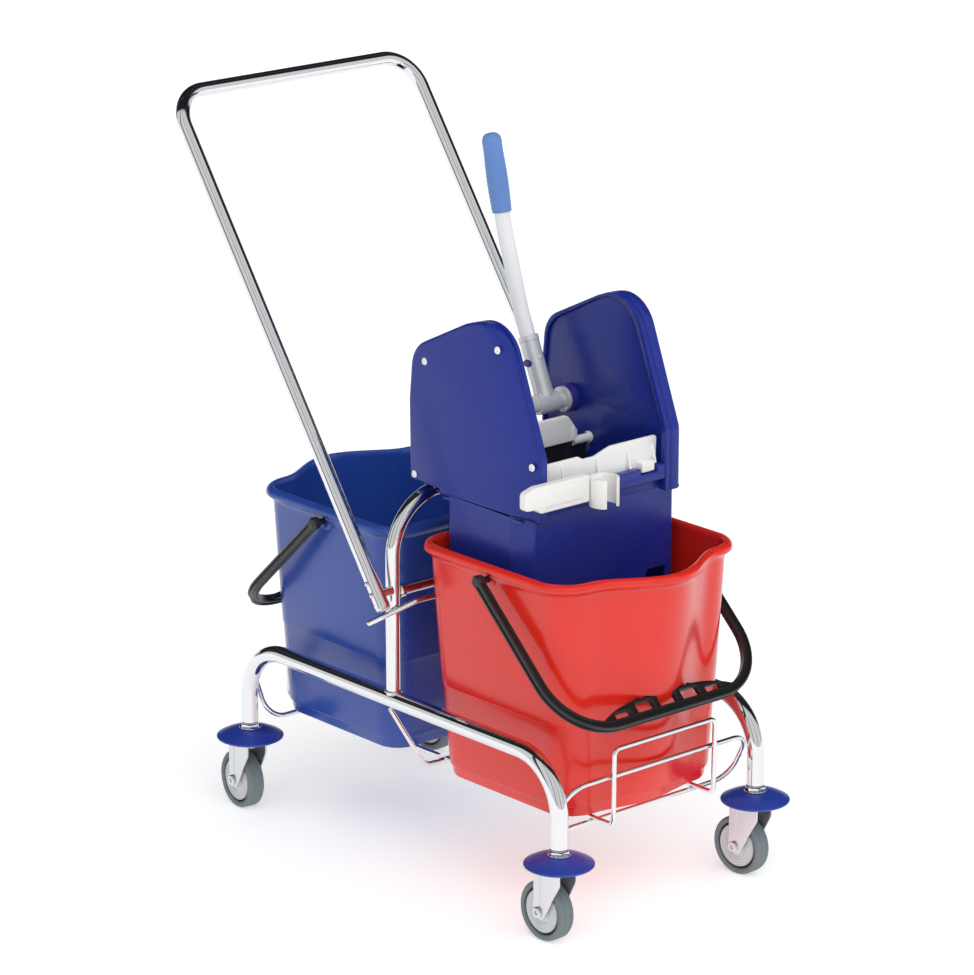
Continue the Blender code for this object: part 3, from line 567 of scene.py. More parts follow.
def caster_frame(corner):
    """Stem axis at the floor, turned to where the caster points at rest."""
    spin = joint_named("wheel_spin_" + corner)
    stem = middle("caster_stem_" + corner)
    turn = math.atan2(spin["axis"][1], spin["axis"][0])
    return Matrix.Translation((stem.x, stem.y, 0)) @ Matrix.Rotation(turn, 4, "Z")


def build_bumper(corner, at):
    bm = bmesh.new()
    bore, rim = 0.0058, DISC_R - 0.0014
    crown = []
    for k in range(13):
        share = k / 12
        crown.append((bore + (rim - bore) * share, DISC_TOP - (DISC_TOP - DISC_LOW - 0.0056) * share ** 2.3))
    edge = arc_points((rim - 0.0002, DISC_LOW + 0.0040), 0.0016, 60, -75, 7)
    under = [(0.0385, DISC_LOW + 0.0008), (0.030, DISC_LOW + 0.0022), (0.016, DISC_LOW + 0.0022),
             (bore, DISC_LOW + 0.0022)]
    lathe(bm, crown + edge + under, 64, at, bored=True)
    add_piece("bumper_" + corner, bm, "bumper_moulding", "frame", ["bumper_disc_" + corner], cart=False)


def build_stem(corner, at):
    bm = bmesh.new()
    low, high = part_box("caster_stem_" + corner)
    base = DISC_TOP + 0.0002
    washer = [(0.0052, base), (0.0134, base), (0.0138, base + 0.0005), (0.0134, base + 0.0012),
              (0.0052, base + 0.0012)]
    lathe(bm, washer, 40, at, bored=True)
    nut = [(0, base + 0.0012), (0.0116, base + 0.0012), (0.0126, base + 0.0020), (0.0126, base + 0.0054)]
    nut += [(0.0114, base + 0.0064), (0, base + 0.0064)]
    lathe(bm, nut, 6, at)
    neck = [(0, base + 0.0060), (0.0102, base + 0.0060), (0.0108, base + 0.0072), (0.0108, high.z),
            (0, high.z)]
    lathe(bm, neck, 40, at)
    pin = [(0, low.z), (0.0078, low.z), (0.0085, low.z + 0.0008), (0.0085, low.z + 0.0040)]
    pin += [(0.0050, low.z + 0.0042), (0.0050, base + 0.002), (0, base + 0.002)]
    lathe(bm, pin, 32, at)
    add_piece("ring_nut_" + corner, bm, "chrome_plate", "frame", ["caster_stem_" + corner], cart=False)


def build_fork(corner, at):
    bm = bmesh.new()
    low = WHEEL_R - 0.0085
    side = rounded([(-0.016, FORK_TOP, 0.0015), (0.029, FORK_TOP, 0.0015), (0.0295, WHEEL_R + 0.012, 0.012),
                    (TRAIL + 0.0088, low, 0.0084), (TRAIL - 0.0088, low, 0.0084), (-0.016, 0.080, 0.012)])
    for sign in (-1, 1):
        x = sign * (FORK_HALF - FORK_SHEET / 2)
        plate(bm, side, at @ facing_x(x), FORK_SHEET, 0.0005)
        crease = [(sign * FORK_HALF, 0.0165, FORK_TOP - 0.004), (sign * FORK_HALF, 0.0185, WHEEL_R + 0.008)]
        sweep(bm, [at @ Vector(p) for p in crease], 0.0007, 12)
    top = box_corners((-FORK_HALF, -0.016), (FORK_HALF, 0.029), 0.002)
    bore = circle((0, 0), 0.0056, 24)
    plate(bm, top, at @ facing_z(FORK_TOP - 0.0014), 0.0028, 0.0007, [bore])
    race = [(0.0056, FORK_TOP), (0.0150, FORK_TOP), (0.0150, FORK_TOP + 0.0012), (0.0125, FORK_TOP + 0.0034)]
    race += [(0.0056, FORK_TOP + 0.0036)]
    lathe(bm, race, 40, at, bored=True)
    add_piece("fork_plate_" + corner, bm, "zinc_plate", "swivel_" + corner, ["fork_" + corner], cart=False)


def mirrored(profile):
    """One side of a turned section, and its mirror image back, as a closed section."""
    return profile + [(r, -h) for r, h in reversed(profile)]


def build_wheel(corner, at):
    hub_at = at @ Matrix.Translation((0, TRAIL, WHEEL_R)) @ Matrix.Rotation(RIGHT_ANGLE, 4, "Y")
    bolt = bmesh.new()
    head = FORK_HALF + 0.0002
    near = [(0, -head - 0.0012), (0.0026, -head - 0.0012), (0.0030, -head - 0.0028), (0.0060, -head - 0.0030)]
    near += [(0.0070, -head - 0.0020), (0.0070, -head), (0.0040, -head)]
    far = [(0.0040, head), (0.0066, head), (0.0066, head + 0.0032), (0.0058, head + 0.0040),
           (0, head + 0.0040)]
    lathe(bolt, near + far, 32, hub_at)
    add_piece("axle_bolt_" + corner, bolt, "zinc_plate", "swivel_" + corner, ["axle_" + corner], cart=False)
    hub = bmesh.new()
    face = [(0.0043, 0.0118), (0.0092, 0.0118), (0.0098, 0.0112), (0.0112, 0.0090), (0.0146, 0.0082)]
    for ring in (0.0152, 0.0188, 0.0222):
        face += [(ring, 0.0083), (ring + 0.0004, 0.0091), (ring + 0.0014, 0.0091), (ring + 0.0018, 0.0083)]
    face += [(0.0256, 0.0084), (0.0261, 0.0094), (0.0268, 0.0094), (0.0270, 0.0086)]
    lathe(hub, mirrored(face), 56, hub_at, bored=True)
    add_piece("hub_" + corner, hub, "hub_moulding", "wheel_" + corner, ["wheel_hub_" + corner], cart=False)
    # a flat near-black ring sunk between hub and tyre stands in for the shadow in the gap there: painted shade
    shadow_ring = bmesh.new()
    lathe(shadow_ring, mirrored([(0.0270, 0.0068), (0.0304, 0.0068)]), 56, hub_at, bored=True)
    add_piece("wheel_shadow_ring_" + corner, shadow_ring, "shadow_gap_black", "wheel_" + corner, cart=False)
    tyre = bmesh.new()
    side = [(0.0301, 0.0080), (0.0303, 0.0096), (0.0311, 0.0106), (0.0324, 0.0112), (0.0340, 0.0113)]
    side += [(0.0345, 0.0110), (0.0350, 0.0110)] + arc_points((0.0335, 0.0070), 0.0040, 60, 12, 6)
    side += [(0.0375, 0.0062), (0.0375, 0.0046), (0.0371, 0.0043), (0.0375, 0.0040), (0.0375, 0.0008)]
    lathe(tyre, mirrored(side), 72, hub_at, bored=True)
    add_piece("tyre_ring_" + corner, tyre, "tyre_rubber", "wheel_" + corner, ["tyre_" + corner], cart=False)


# ---------------------------------------------------------------- pails and bails
PIVOT_IN = 0.136
PIVOT_Z = 0.418
BAIL_X = 0.162
BAIL_LENGTH = 0.228
BAIL_HANG = math.radians(43.0)
WALL = 0.003
LIP = 0.009             # how far the lip stands out from the wall
# shapes of the wall at its foot and at its top: half width, back, front, bow, back corner, front corner
WALL_FOOT = (PAIL_HALF - 0.026, 0.024, PAIL_LONG - 0.045, 0.012, 0.034, 0.045)
WALL_TOP = (PAIL_HALF - LIP, 0.0085, PAIL_LONG - LIP, 0.042, 0.034, 0.042)
WALL_TOP_Z = RIM_Z - 0.010


def pail_ring(height, offset):
    """Plan outline of a pail's wall at a height, moved out by an offset; +V runs from the hoop to the bow."""
    share = min(1.0, max(0.0, (height - FLOOR_Z - 0.004) / (WALL_TOP_Z - FLOOR_Z - 0.004)))
    mixed = [foot + (top - foot) * share for foot, top in zip(WALL_FOOT, WALL_TOP)]
    half, back, front, bow, corner_back, corner_front = mixed
    half, back, front = half + offset, back - offset, front + offset
    corner_back, corner_front = corner_back + offset, corner_front + offset
    side_end = front - bow - corner_front
    flat = half - corner_front
    right = []
    for k in range(11):
        a = RIGHT_ANGLE * k / 10
        right.append((half - corner_back + corner_back * math.sin(a),
                      back + corner_back - corner_back * math.cos(a)))
    for k in range(1, 11):
        a = RIGHT_ANGLE * k / 10
        right.append((half - corner_front + corner_front * math.cos(a),
                      side_end + corner_front * math.sin(a)))
    for k in range(1, 17):
        across = 1 - k / 16
        right.append((flat * across, front - bow * across ** 2 * (2 - across ** 2)))
    left = [(-x, v) for x, v in reversed(right[:-1])]
    return right + left


def pail_profile():
    """Section of a pail's wall from the middle of its underside, over the lip, to its inner floor."""
    foot = [(-0.0120, FLOOR_Z), (-0.0075, FLOOR_Z + 0.0003), (-0.0050, FLOOR_Z + 0.0014),
            (-0.0036, FLOOR_Z + 0.0040)]
    foot += [(-0.0032, FLOOR_Z + 0.0130), (-0.0024, FLOOR_Z + 0.0148), (-0.0004, FLOOR_Z + 0.0162)]
    wall = [(0, FLOOR_Z + 0.0185), (0, 0.200), (0, 0.2540), (0.0005, 0.2552), (0.0009, 0.2575),
            (0.0009, 0.300)]
    wall += [(0.0006, 0.360), (0.0003, RIM_Z - 0.023)]
    lip = [(0.0006, RIM_Z - 0.0185), (0.0022, RIM_Z - 0.0145), (0.0048, RIM_Z - 0.0120),
           (0.0076, RIM_Z - 0.0108)]
    lip += [(LIP, RIM_Z - 0.0090), (LIP, RIM_Z - 0.0060), (0.0076, RIM_Z - 0.0028), (0.0048, RIM_Z - 0.0008)]
    lip += [(0.0016, RIM_Z), (-0.0010, RIM_Z - 0.0008), (-0.0026, RIM_Z - 0.0034), (-WALL, RIM_Z - 0.0080)]
    inside = [(-WALL, 0.360), (-WALL, 0.2575), (-0.0034, 0.2540), (-0.0034, FLOOR_Z + 0.0130)]
    inside += [(-0.0050, FLOOR_Z + 0.0075), (-0.0085, FLOOR_Z + 0.0045), (-0.0140, FLOOR_Z + 0.0036)]
    return foot + wall + lip + inside


def build_pail(name, back_y, end, material, body):
    bm = bmesh.new()
    skin_over(bm, [[(x, back_y + end * v, height) for x, v in pail_ring(height, offset)]
                   for offset, height in pail_profile()])
    wall_x = pail_ring(PIVOT_Z, 0)[11][0]
    for sign in (-1, 1):
        at = (sign * (wall_x - 0.0008), back_y + end * PIVOT_IN, PIVOT_Z)
        boss = [(0, 0), (0.0120, 0), (0.0118, 0.0012), (0.0105, 0.0020), (0.0062, 0.0022), (0, 0.0022)]
        lathe(bm, boss, 32, along((sign, 0, 0), at))
    add_piece(name, bm, material, body, ["bucket_" + name.split("_")[0]])


def bail_section():
    """Section of a bail's arm: a bar with a groove along its outer and inner faces."""
    half, deep = 0.0060, 0.0056
    return [(half, -deep + 0.0014), (half, -0.0024), (half - 0.0020, -0.0014), (half - 0.0020, 0.0014),
            (half, 0.0024),
            (half, deep - 0.0014), (half - 0.0014, deep), (0.0030, deep), (0.0020, deep - 0.0018),
            (-0.0020, deep - 0.0018), (-0.0030, deep), (-half + 0.0014, deep), (-half, deep - 0.0014),
            (-half, -deep + 0.0014), (-half + 0.0014, -deep), (-0.0030, -deep), (-0.0020, -deep + 0.0018),
            (0.0020, -deep + 0.0018), (0.0030, -deep), (half - 0.0014, -deep)]


def build_bail(colour, back_y, end):
    """In the bail's own plane U runs across the pail and V from the pivots to the grip."""
    pivot = Vector((0, back_y + end * PIVOT_IN, PIVOT_Z))
    down = Vector((0, end * math.cos(BAIL_HANG), -math.sin(BAIL_HANG)))
    across = Vector((1, 0, 0))
    out = across.cross(down)
    plane = Matrix((across, down, out)).transposed().to_4x4()
    plane.translation = pivot
    bm = bmesh.new()
    reach_out = BAIL_LENGTH - 0.0016
    corners = [(-BAIL_X, -0.002, 0), (-BAIL_X, reach_out, 0), (BAIL_X, reach_out, 0), (BAIL_X, -0.002, 0)]
    path = fillet(corners, 0.076, steps=20)
    rings = []
    for i, here in enumerate(path):
        ahead = (path[min(i + 1, len(path) - 1)] - path[max(i - 1, 0)]).normalized()
        outward = Vector((-ahead.y, ahead.x, 0))
        rings.append([plane @ (here + outward * a + Vector((0, 0, b))) for a, b in bail_section()])
    skin_over(bm, rings)
    grip_half, inner = 0.106, 0.0250
    fingers = []
    for k in range(101):
        u = -grip_half + 2 * grip_half * k / 100
        swell = 0.0015 * math.cos(2 * math.pi * u / 0.0170) if abs(u) < 0.0425 else 0.0
        taper = 0.0165 * (abs(u) / grip_half) ** 3.2
        fingers.append((u, reach_out - inner + taper + swell))
    strand = fingers + [(grip_half, reach_out - 0.002), (-grip_half, reach_out - 0.002)]
    windows = []
    for centre, half_u, inset in ((-0.074, 0.0120, 0.0135), (-0.037, 0.0135, 0.0185), (0, 0.0135, 0.0195),
                                  (0.037, 0.0135, 0.0185), (0.074, 0.0120, 0.0135)):
        top, low = reach_out - inset, reach_out - 0.0052
        windows.append(box_corners((centre - half_u, top), (centre + half_u, low), 0.0025, 4))
    plate(bm, strand, plane, 0.0076, 0.0016, windows)
    for sign in (-1, 1):
        eye = [(0, 0.1465 - BAIL_X), (0.0042, 0.1465 - BAIL_X), (0.0042, -0.0050), (0.0078, -0.0046),
               (0.0080, 0.0030)]
        eye += [(0.0066, 0.0050), (0.0030, 0.0058), (0, 0.0060)]
        lathe(bm, eye, 32, along((sign, 0, 0), pivot + across * sign * BAIL_X))
    add_piece("bail_loop_" + colour, bm, "black_and_shade_moulding", colour + "_bail", ["bail_" + colour])


# ---------------------------------------------------------------- wringer
CHEEK_IN = 0.100
SKIN = 0.003
COVER_OUT = COVER_LOW.x * -1
COVER_IN = COVER_HIGH.x * -1
FRONT_Y = -0.1880
REAR_Y = -0.0330
SHELL_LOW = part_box("wringer_body")[0].z
LEDGE_Z = 0.4897
SHELL_TOP = 0.4945      # the shell runs up inside the covers' lower edges
BAND_TOP = 0.525
LEVER_LEAN = Vector((0, 0.4002, 0.9164))


def carve(bm, cutter):
    """The first shape with the second one cut out of it."""
    holders = []
    for source in (bm, cutter):
        bmesh.ops.recalc_face_normals(source, faces=source.faces)
        holders.append(add_object("carve", to_mesh("carve", source)))
    step = holders[0].modifiers.new("carve", "BOOLEAN")
    step.operation = "DIFFERENCE"
    step.solver = "EXACT"
    step.object = holders[1]
    carved = bmesh.new()
    pour(final_mesh(holders[0]), carved)
    for holder in holders:
        mesh = holder.data
        bpy.data.objects.remove(holder)
        bpy.data.meshes.remove(mesh)
    return carved


def facing_z(z):
    """Outline (x, y) drawn in a level plane."""
    return Matrix.Translation((0, 0, z))


def block(bm, low, high, soft=0.0010):
    """A softened block between two corners."""
    plate(bm, box_corners(low, high), facing_z((low[2] + high[2]) / 2), high[2] - low[2], soft)


def cheek_corners(inset=0.0):
    """Outline (y, z) of a side cover, moved in by an inset."""
    low = 0.4900 + inset
    corners = [(-0.199 + inset, low, 0.001), (-0.199 + inset, 0.568, 0.028)]
    corners += [(-0.1360 + inset * 0.8, 0.7310 - inset * 1.3, 0.050), (-0.0750, 0.7130 - inset, 0.060)]
    corners += [(0.0220 - inset, 0.6660 - inset, 0.040), (0.0285 - inset, 0.6000, 0.050)]
    corners += [(0.027 - inset, 0.497 + inset, 0.004), (-0.027, 0.497 + inset, 0.004), (-0.027, low, 0.001)]
    return rounded(corners, 12)


def shell_plan(inset):
    half = COVER_OUT - inset
    front, rear = FRONT_Y + inset, REAR_Y - inset
    corners = [(0.012 - half, front, 0.004), (half - 0.003, front, 0.003), (half, front + 0.003, 0.001),
               (half, rear - 0.014, 0.005), (half - 0.014, rear, 0.005), (0.014 - half, rear, 0.005),
               (-half, rear - 0.014, 0.005), (-half, front + 0.030, 0.010)]
    return rounded(corners, 5)


def build_shell():
    bm = bmesh.new()
    levels = [(0.0022, SHELL_LOW), (0.0006, SHELL_LOW + 0.0008), (0, SHELL_LOW + 0.0030),
              (0, SHELL_TOP - 0.0006),
              (0.0006, SHELL_TOP), (SKIN - 0.0006, SHELL_TOP), (SKIN, SHELL_TOP - 0.0006), (SKIN, SHELL_LOW)]
    skin_over(bm, [[(x, y, z) for x, y in shell_plan(inset)] for inset, z in levels], closed=True)
    cutter = bmesh.new()
    notch = [(0.0640, SHELL_LOW - 0.004), (0.0770, SHELL_LOW + 0.030), (0.1070, SHELL_LOW + 0.030)]
    notch += [(0.1070, SHELL_LOW - 0.004)]
    plate(cutter, notch, facing_y(FRONT_Y), 0.020, 0.0002)
    bm = carve(bm, cutter)
    slots = []
    for k in range(5):
        x = -0.080 + 0.040 * k
        slots.append(box_corners((x - 0.012, FRONT_Y + 0.020), (x + 0.012, REAR_Y - 0.020), 0.006, 6))
    plate(bm, shell_plan(0.0012), facing_z(SHELL_LOW + 0.0016), 0.0030, 0.0004, slots)
    for sign in (-1, 1):
        near, far = sorted((sign * CHEEK_IN, sign * (COVER_OUT - 0.001)))
        block(bm, (near, FRONT_Y + 0.012, LEDGE_Z - SKIN), (far, REAR_Y - 0.002, LEDGE_Z), 0.0004)
    add_piece("wringer_shell", bm, "blue_moulding", "wringer", ["wringer_body"])


def build_wringer_walls():
    """The two side walls with their raised borders, the front band and the rear wall."""
    bm = bmesh.new()
    bores = [circle(pivot, 0.0064, 32) for pivot in ((SHAFT_Y, SHAFT_Z), (PRESS_Y, PRESS_Z))]
    for sign in (-1, 1):
        plate(bm, cheek_corners(0.0005), facing_x(sign * (CHEEK_IN + SKIN / 2)), SKIN, 0.0006, bores)
        rim = [(y + 0.0050 * max(0.0, min(1.0, -(y + 0.06) / 0.08)), z) for y, z in cheek_corners(0.0055)]
        plate(bm, cheek_corners(0.0005), facing_x(sign * (CHEEK_IN - 0.0014)), 0.0042, 0.0016, [rim])
    half = CHEEK_IN + SKIN
    wall = [(-half, LEDGE_Z - SKIN), (half, LEDGE_Z - SKIN), (half, BAND_TOP - 0.001),
            (0.0840, BAND_TOP - 0.001)]
    wall += [(0.0840, BAND_TOP - 0.008), (0.0570, BAND_TOP - 0.008), (0.0570, BAND_TOP - 0.001)]
    wall += [(-half, BAND_TOP - 0.001)]
    plate(bm, wall, facing_y(FRONT_Y + SKIN / 2 + 0.0004), SKIN, 0.0006)
    band = [(-half, 0.506, 0.002), (half, 0.506, 0.002), (half, BAND_TOP, 0.002), (0.0840, BAND_TOP, 0.0015)]
    band += [(0.0840, BAND_TOP - 0.008, 0.0015), (0.0570, BAND_TOP - 0.008, 0.0015),
             (0.0570, BAND_TOP, 0.0015)]
    band += [(-half, BAND_TOP, 0.002)]
    plate(bm, rounded(band, 4), facing_y(FRONT_Y - 0.0045), 0.0089, 0.0012)
    plate(bm, box_corners((-half, LEDGE_Z - SKIN), (half, 0.506)), facing_y(REAR_Y - SKIN / 2 - 0.0004),
          SKIN, 0.0008)
    add_piece("wringer_walls", bm, "blue_moulding", "wringer")


def screw(bm, sign, y, z, sunk, radius=0.0046):
    """A pan-head screw with a crossed slot, standing out of a cover's face."""
    head = bmesh.new()
    dome = [(0, 0.0018), (radius * 0.45, 0.0017), (radius * 0.80, 0.0011), (radius, 0.0002),
            (radius, -0.0010)]
    lathe(head, dome + [(0, -0.0010)], 24, along((sign, 0, 0), (sign * (COVER_OUT - sunk), y, z)))
    for wide, tall in ((radius * 0.55, 0.0005), (0.0005, radius * 0.55)):
        slot = bmesh.new()
        plate(slot, box_corners((y - wide, z - tall), (y + wide, z + tall)),
              facing_x(sign * (COVER_OUT - sunk + 0.0020)), 0.0026, 0.00005)
        head = carve(head, slot)
    pour(to_mesh("screw", head), bm)


def slope_cover(bm):
    """Turns the front strip of the left cover's outer face inward, in line with the shell's cut corner."""
    crease = Vector((0, -0.158, 0.490))
    normal = Vector((0, 0.187, -0.039)).normalized()
    geometry = list(bm.verts) + list(bm.edges) + list(bm.faces)
    bmesh.ops.bisect_plane(bm, geom=geometry, plane_co=crease, plane_no=normal)
    for vert in bm.verts:
        beyond = (crease - vert.co).dot(normal)
        if beyond > 0 and vert.co.x < -COVER_IN - 0.010:
            vert.co.x += beyond * 0.30


def build_covers():
    thick = COVER_OUT - COVER_IN
    for side, sign in SIDES:
        bm = bmesh.new()
        plate(bm, cheek_corners(), facing_x(sign * (COVER_OUT + COVER_IN) / 2), thick, 0.0042)
        if sign < 0:
            slope_cover(bm)
        face = sign * (COVER_OUT - 0.0002)
        sweep(bm, [(face, -0.0230, 0.4950), (face, -0.0490, 0.4925)], 0.0008, 10)
        add_piece("cover_" + side, bm, "blue_moulding", "wringer", ["wringer_cover_" + side])
        screws = bmesh.new()
        for y, z, sunk in ((-0.002, 0.652, 0), (-0.133, 0.692, 0.0012), (0.018, 0.506, 0),
                           (-0.187, 0.558, 0.0080)):
            screw(screws, sign, y, z, sunk if sign < 0 else 0)
        add_piece("cover_screws_" + side, screws, "white_moulding", "wringer")


def build_front_jaw():
    bm = bmesh.new()
    half, low = 0.092, 0.5120
    y = FRONT_Y + SKIN + 0.0006 + 0.0022
    top = [(-half, 0.5555, 0.004), (-0.034, 0.5555, 0.004), (-0.026, 0.5510, 0.004), (-0.008, 0.5510, 0.006)]
    top += [(0.018, 0.5590, 0.006), (half + 0.002, 0.5590, 0.004)]
    plate(bm, rounded([(half, low, 0.001), (-half, low, 0.001)] + top, 6), facing_y(y), 0.0044, 0.0011)
    slope = [(y - 0.0020, 0.5260), (y + 0.0030, 0.5260), (y + 0.0032, 0.5120), (-0.1376, 0.3980),
             (-0.1424, 0.3965)]
    slope += [(y - 0.0020, 0.5060)]
    plate(bm, slope, facing_x(0), half * 2, 0.0010)
    for x in (-0.061, -0.005, 0.046, 0.087):
        rib = [(y, 0.5262), (y, 0.5500), (y - 0.0030, 0.5490), (y - 0.0085, 0.5262)]
        plate(bm, rib, facing_x(x), 0.0034, 0.0008)
    block(bm, (0.0605, y - 0.0125, 0.5185), (0.0805, y, 0.5320), 0.0022)
    add_piece("fixed_jaw", bm, "white_moulding", "wringer", ["front_jaw"])


def build_clip():
    bm = bmesh.new()
    back = FRONT_Y - 0.009 - 0.0023
    bar = [(-0.040, 0.5075, 0.003), (-0.040, 0.5410, 0.004), (-0.124, 0.5410, 0.010),
           (-0.1425, 0.5360, 0.006)]
    bar += [(-0.1425, 0.5145, 0.005), (-0.1260, 0.5135, 0.004), (-0.1170, 0.5075, 0.005)]
    plate(bm, rounded(bar, 7), facing_y(back - 0.0060), 0.0120, 0.0016)
    panel = box_corners((-0.112, 0.5145), (-0.049, 0.5335), 0.004)
    plate(bm, panel, facing_y(back - 0.0124), 0.0016, 0.0006)
    centre = (-0.0215, back - 0.0165)
    ring = arc_points(centre, 0.0185, -58, 238, 36)
    inner = arc_points(centre, 0.0152, 238, -58, 36)
    plate(bm, ring + inner, facing_z(0.5180), 0.0360, 0.0010)
    block(bm, (-0.044, back - 0.0052, 0.505), (0.001, back, 0.533), 0.0012)
    add_piece("clip", bm, "white_moulding", "wringer", ["mop_clip"])


def build_hooks():
    top = HOOP_TOP + 0.0003
    hook = [(REAR_Y + 0.0003, top - 0.008, 0.001), (REAR_Y + 0.0003, top + 0.008, 0.002),
            (0.028, top + 0.008, 0.007)]
    hook += [(0.028, top - 0.028, 0.002), (0.0225, top - 0.028, 0.002), (0.0185, top - 0.012, 0.003)]
    hook += [(0.0185, top, 0.0015), (REAR_Y + 0.012, top, 0.002)]
    for side, x in (("left", -0.060), ("right", 0.060)):
        bm = bmesh.new()
        plate(bm, rounded(hook, 6), facing_x(x), 0.0160, 0.0016)
        plate(bm, rounded(hook[:2] + [(0.012, top + 0.0076, 0.001), (REAR_Y + 0.012, top + 0.001, 0.001)], 3),
              facing_x(x), 0.0196, 0.0010)
        add_piece("hook_" + side, bm, "blue_moulding", "wringer", ["hanger_hook_" + side])


def build_bushes():
    for side, sign in SIDES:
        low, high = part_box("shaft_bush_" + side)
        inner, outer = (high.x, low.x) if sign < 0 else (low.x, high.x)
        bm = bmesh.new()
        radius = (high.z - low.z) / 2
        length = abs(outer - inner)
        profile = [(0.0100, 0), (radius * 0.80, 0), (radius * 0.84, 0.0012), (radius - 0.0006, 0.0016)]
        profile += [(radius, 0.0022), (radius, length), (0.0100, length)]
        lathe(bm, profile, 48, along((sign, 0, 0), (inner, SHAFT_Y, SHAFT_Z)), bored=True)
        add_piece("bush_" + side, bm, "nylon", "wringer", ["shaft_bush_" + side])


def build_press():
    panel = bmesh.new()
    left, right = -0.0900, 0.0760
    face = [(left, 0.5290, 0.001), (left, 0.5720, 0.006), (0.0060, 0.5720, 0.004), (0.0085, 0.5630, 0.003)]
    face += [(0.0600, 0.5630, 0.008), (0.0700, 0.5500, 0.004), (right, 0.5420, 0.004), (right, 0.5290, 0.001)]
    plate(panel, rounded(face, 6), facing_y(-0.0590), 0.0064, 0.0012)
    for sign, start in ((-1, 0.0900), (1, 0.0700)):
        stub = [(0, 0), (0.0058, 0), (0.0058, 0.0960 - start), (0.0072, 0.0964 - start),
                (0.0072, 0.0990 - start)]
        stub += [(0.0059, 0.0994 - start), (0.0059, 0.1150 - start), (0, 0.1150 - start)]
        lathe(panel, stub, 32, along((sign, 0, 0), (sign * start, PRESS_Y, PRESS_Z)))
    web = [(-0.0640, 0.5480), (-0.0600, 0.5480), (-0.0600, 0.5300), (-0.0650, 0.5300)]
    plate(panel, web, facing_x(0.0690), 0.0030, 0.0006)
    add_piece("moving_jaw", panel, "white_moulding", "press", ["press_plate"])
    # the jaw's lower plate and its ribs are black to stand in for the deep shade behind the white panel: painted
    # shade
    blade = bmesh.new()
    side = [(-0.0590, 0.5340), (-0.0555, 0.5340), (-0.0535, 0.5281), (-0.0378, 0.4003), (-0.0442, 0.4003)]
    side += [(-0.0590, 0.5281)]
    plate(blade, side, facing_x(0), 0.1910, 0.0012)
    for x in (-0.060, -0.020, 0.020, 0.060):
        rib = [(-0.0600, 0.5260), (-0.0560, 0.5281), (-0.0400, 0.4060), (-0.0455, 0.4060)]
        plate(blade, rib, facing_x(x), 0.0030, 0.0006)
    add_piece("shade_black_jaw_blade", blade, "black_and_shade_moulding", "press")


def oval_plug(centre, size, low_x, high_x):
    """An oval plug along X, wider than it is high."""
    bm = bmesh.new()
    plate(bm, circle(centre.yz, size, 36, (1.25, 0.92)), facing_x((low_x + high_x) / 2), high_x - low_x,
          0.0008)
    return bm


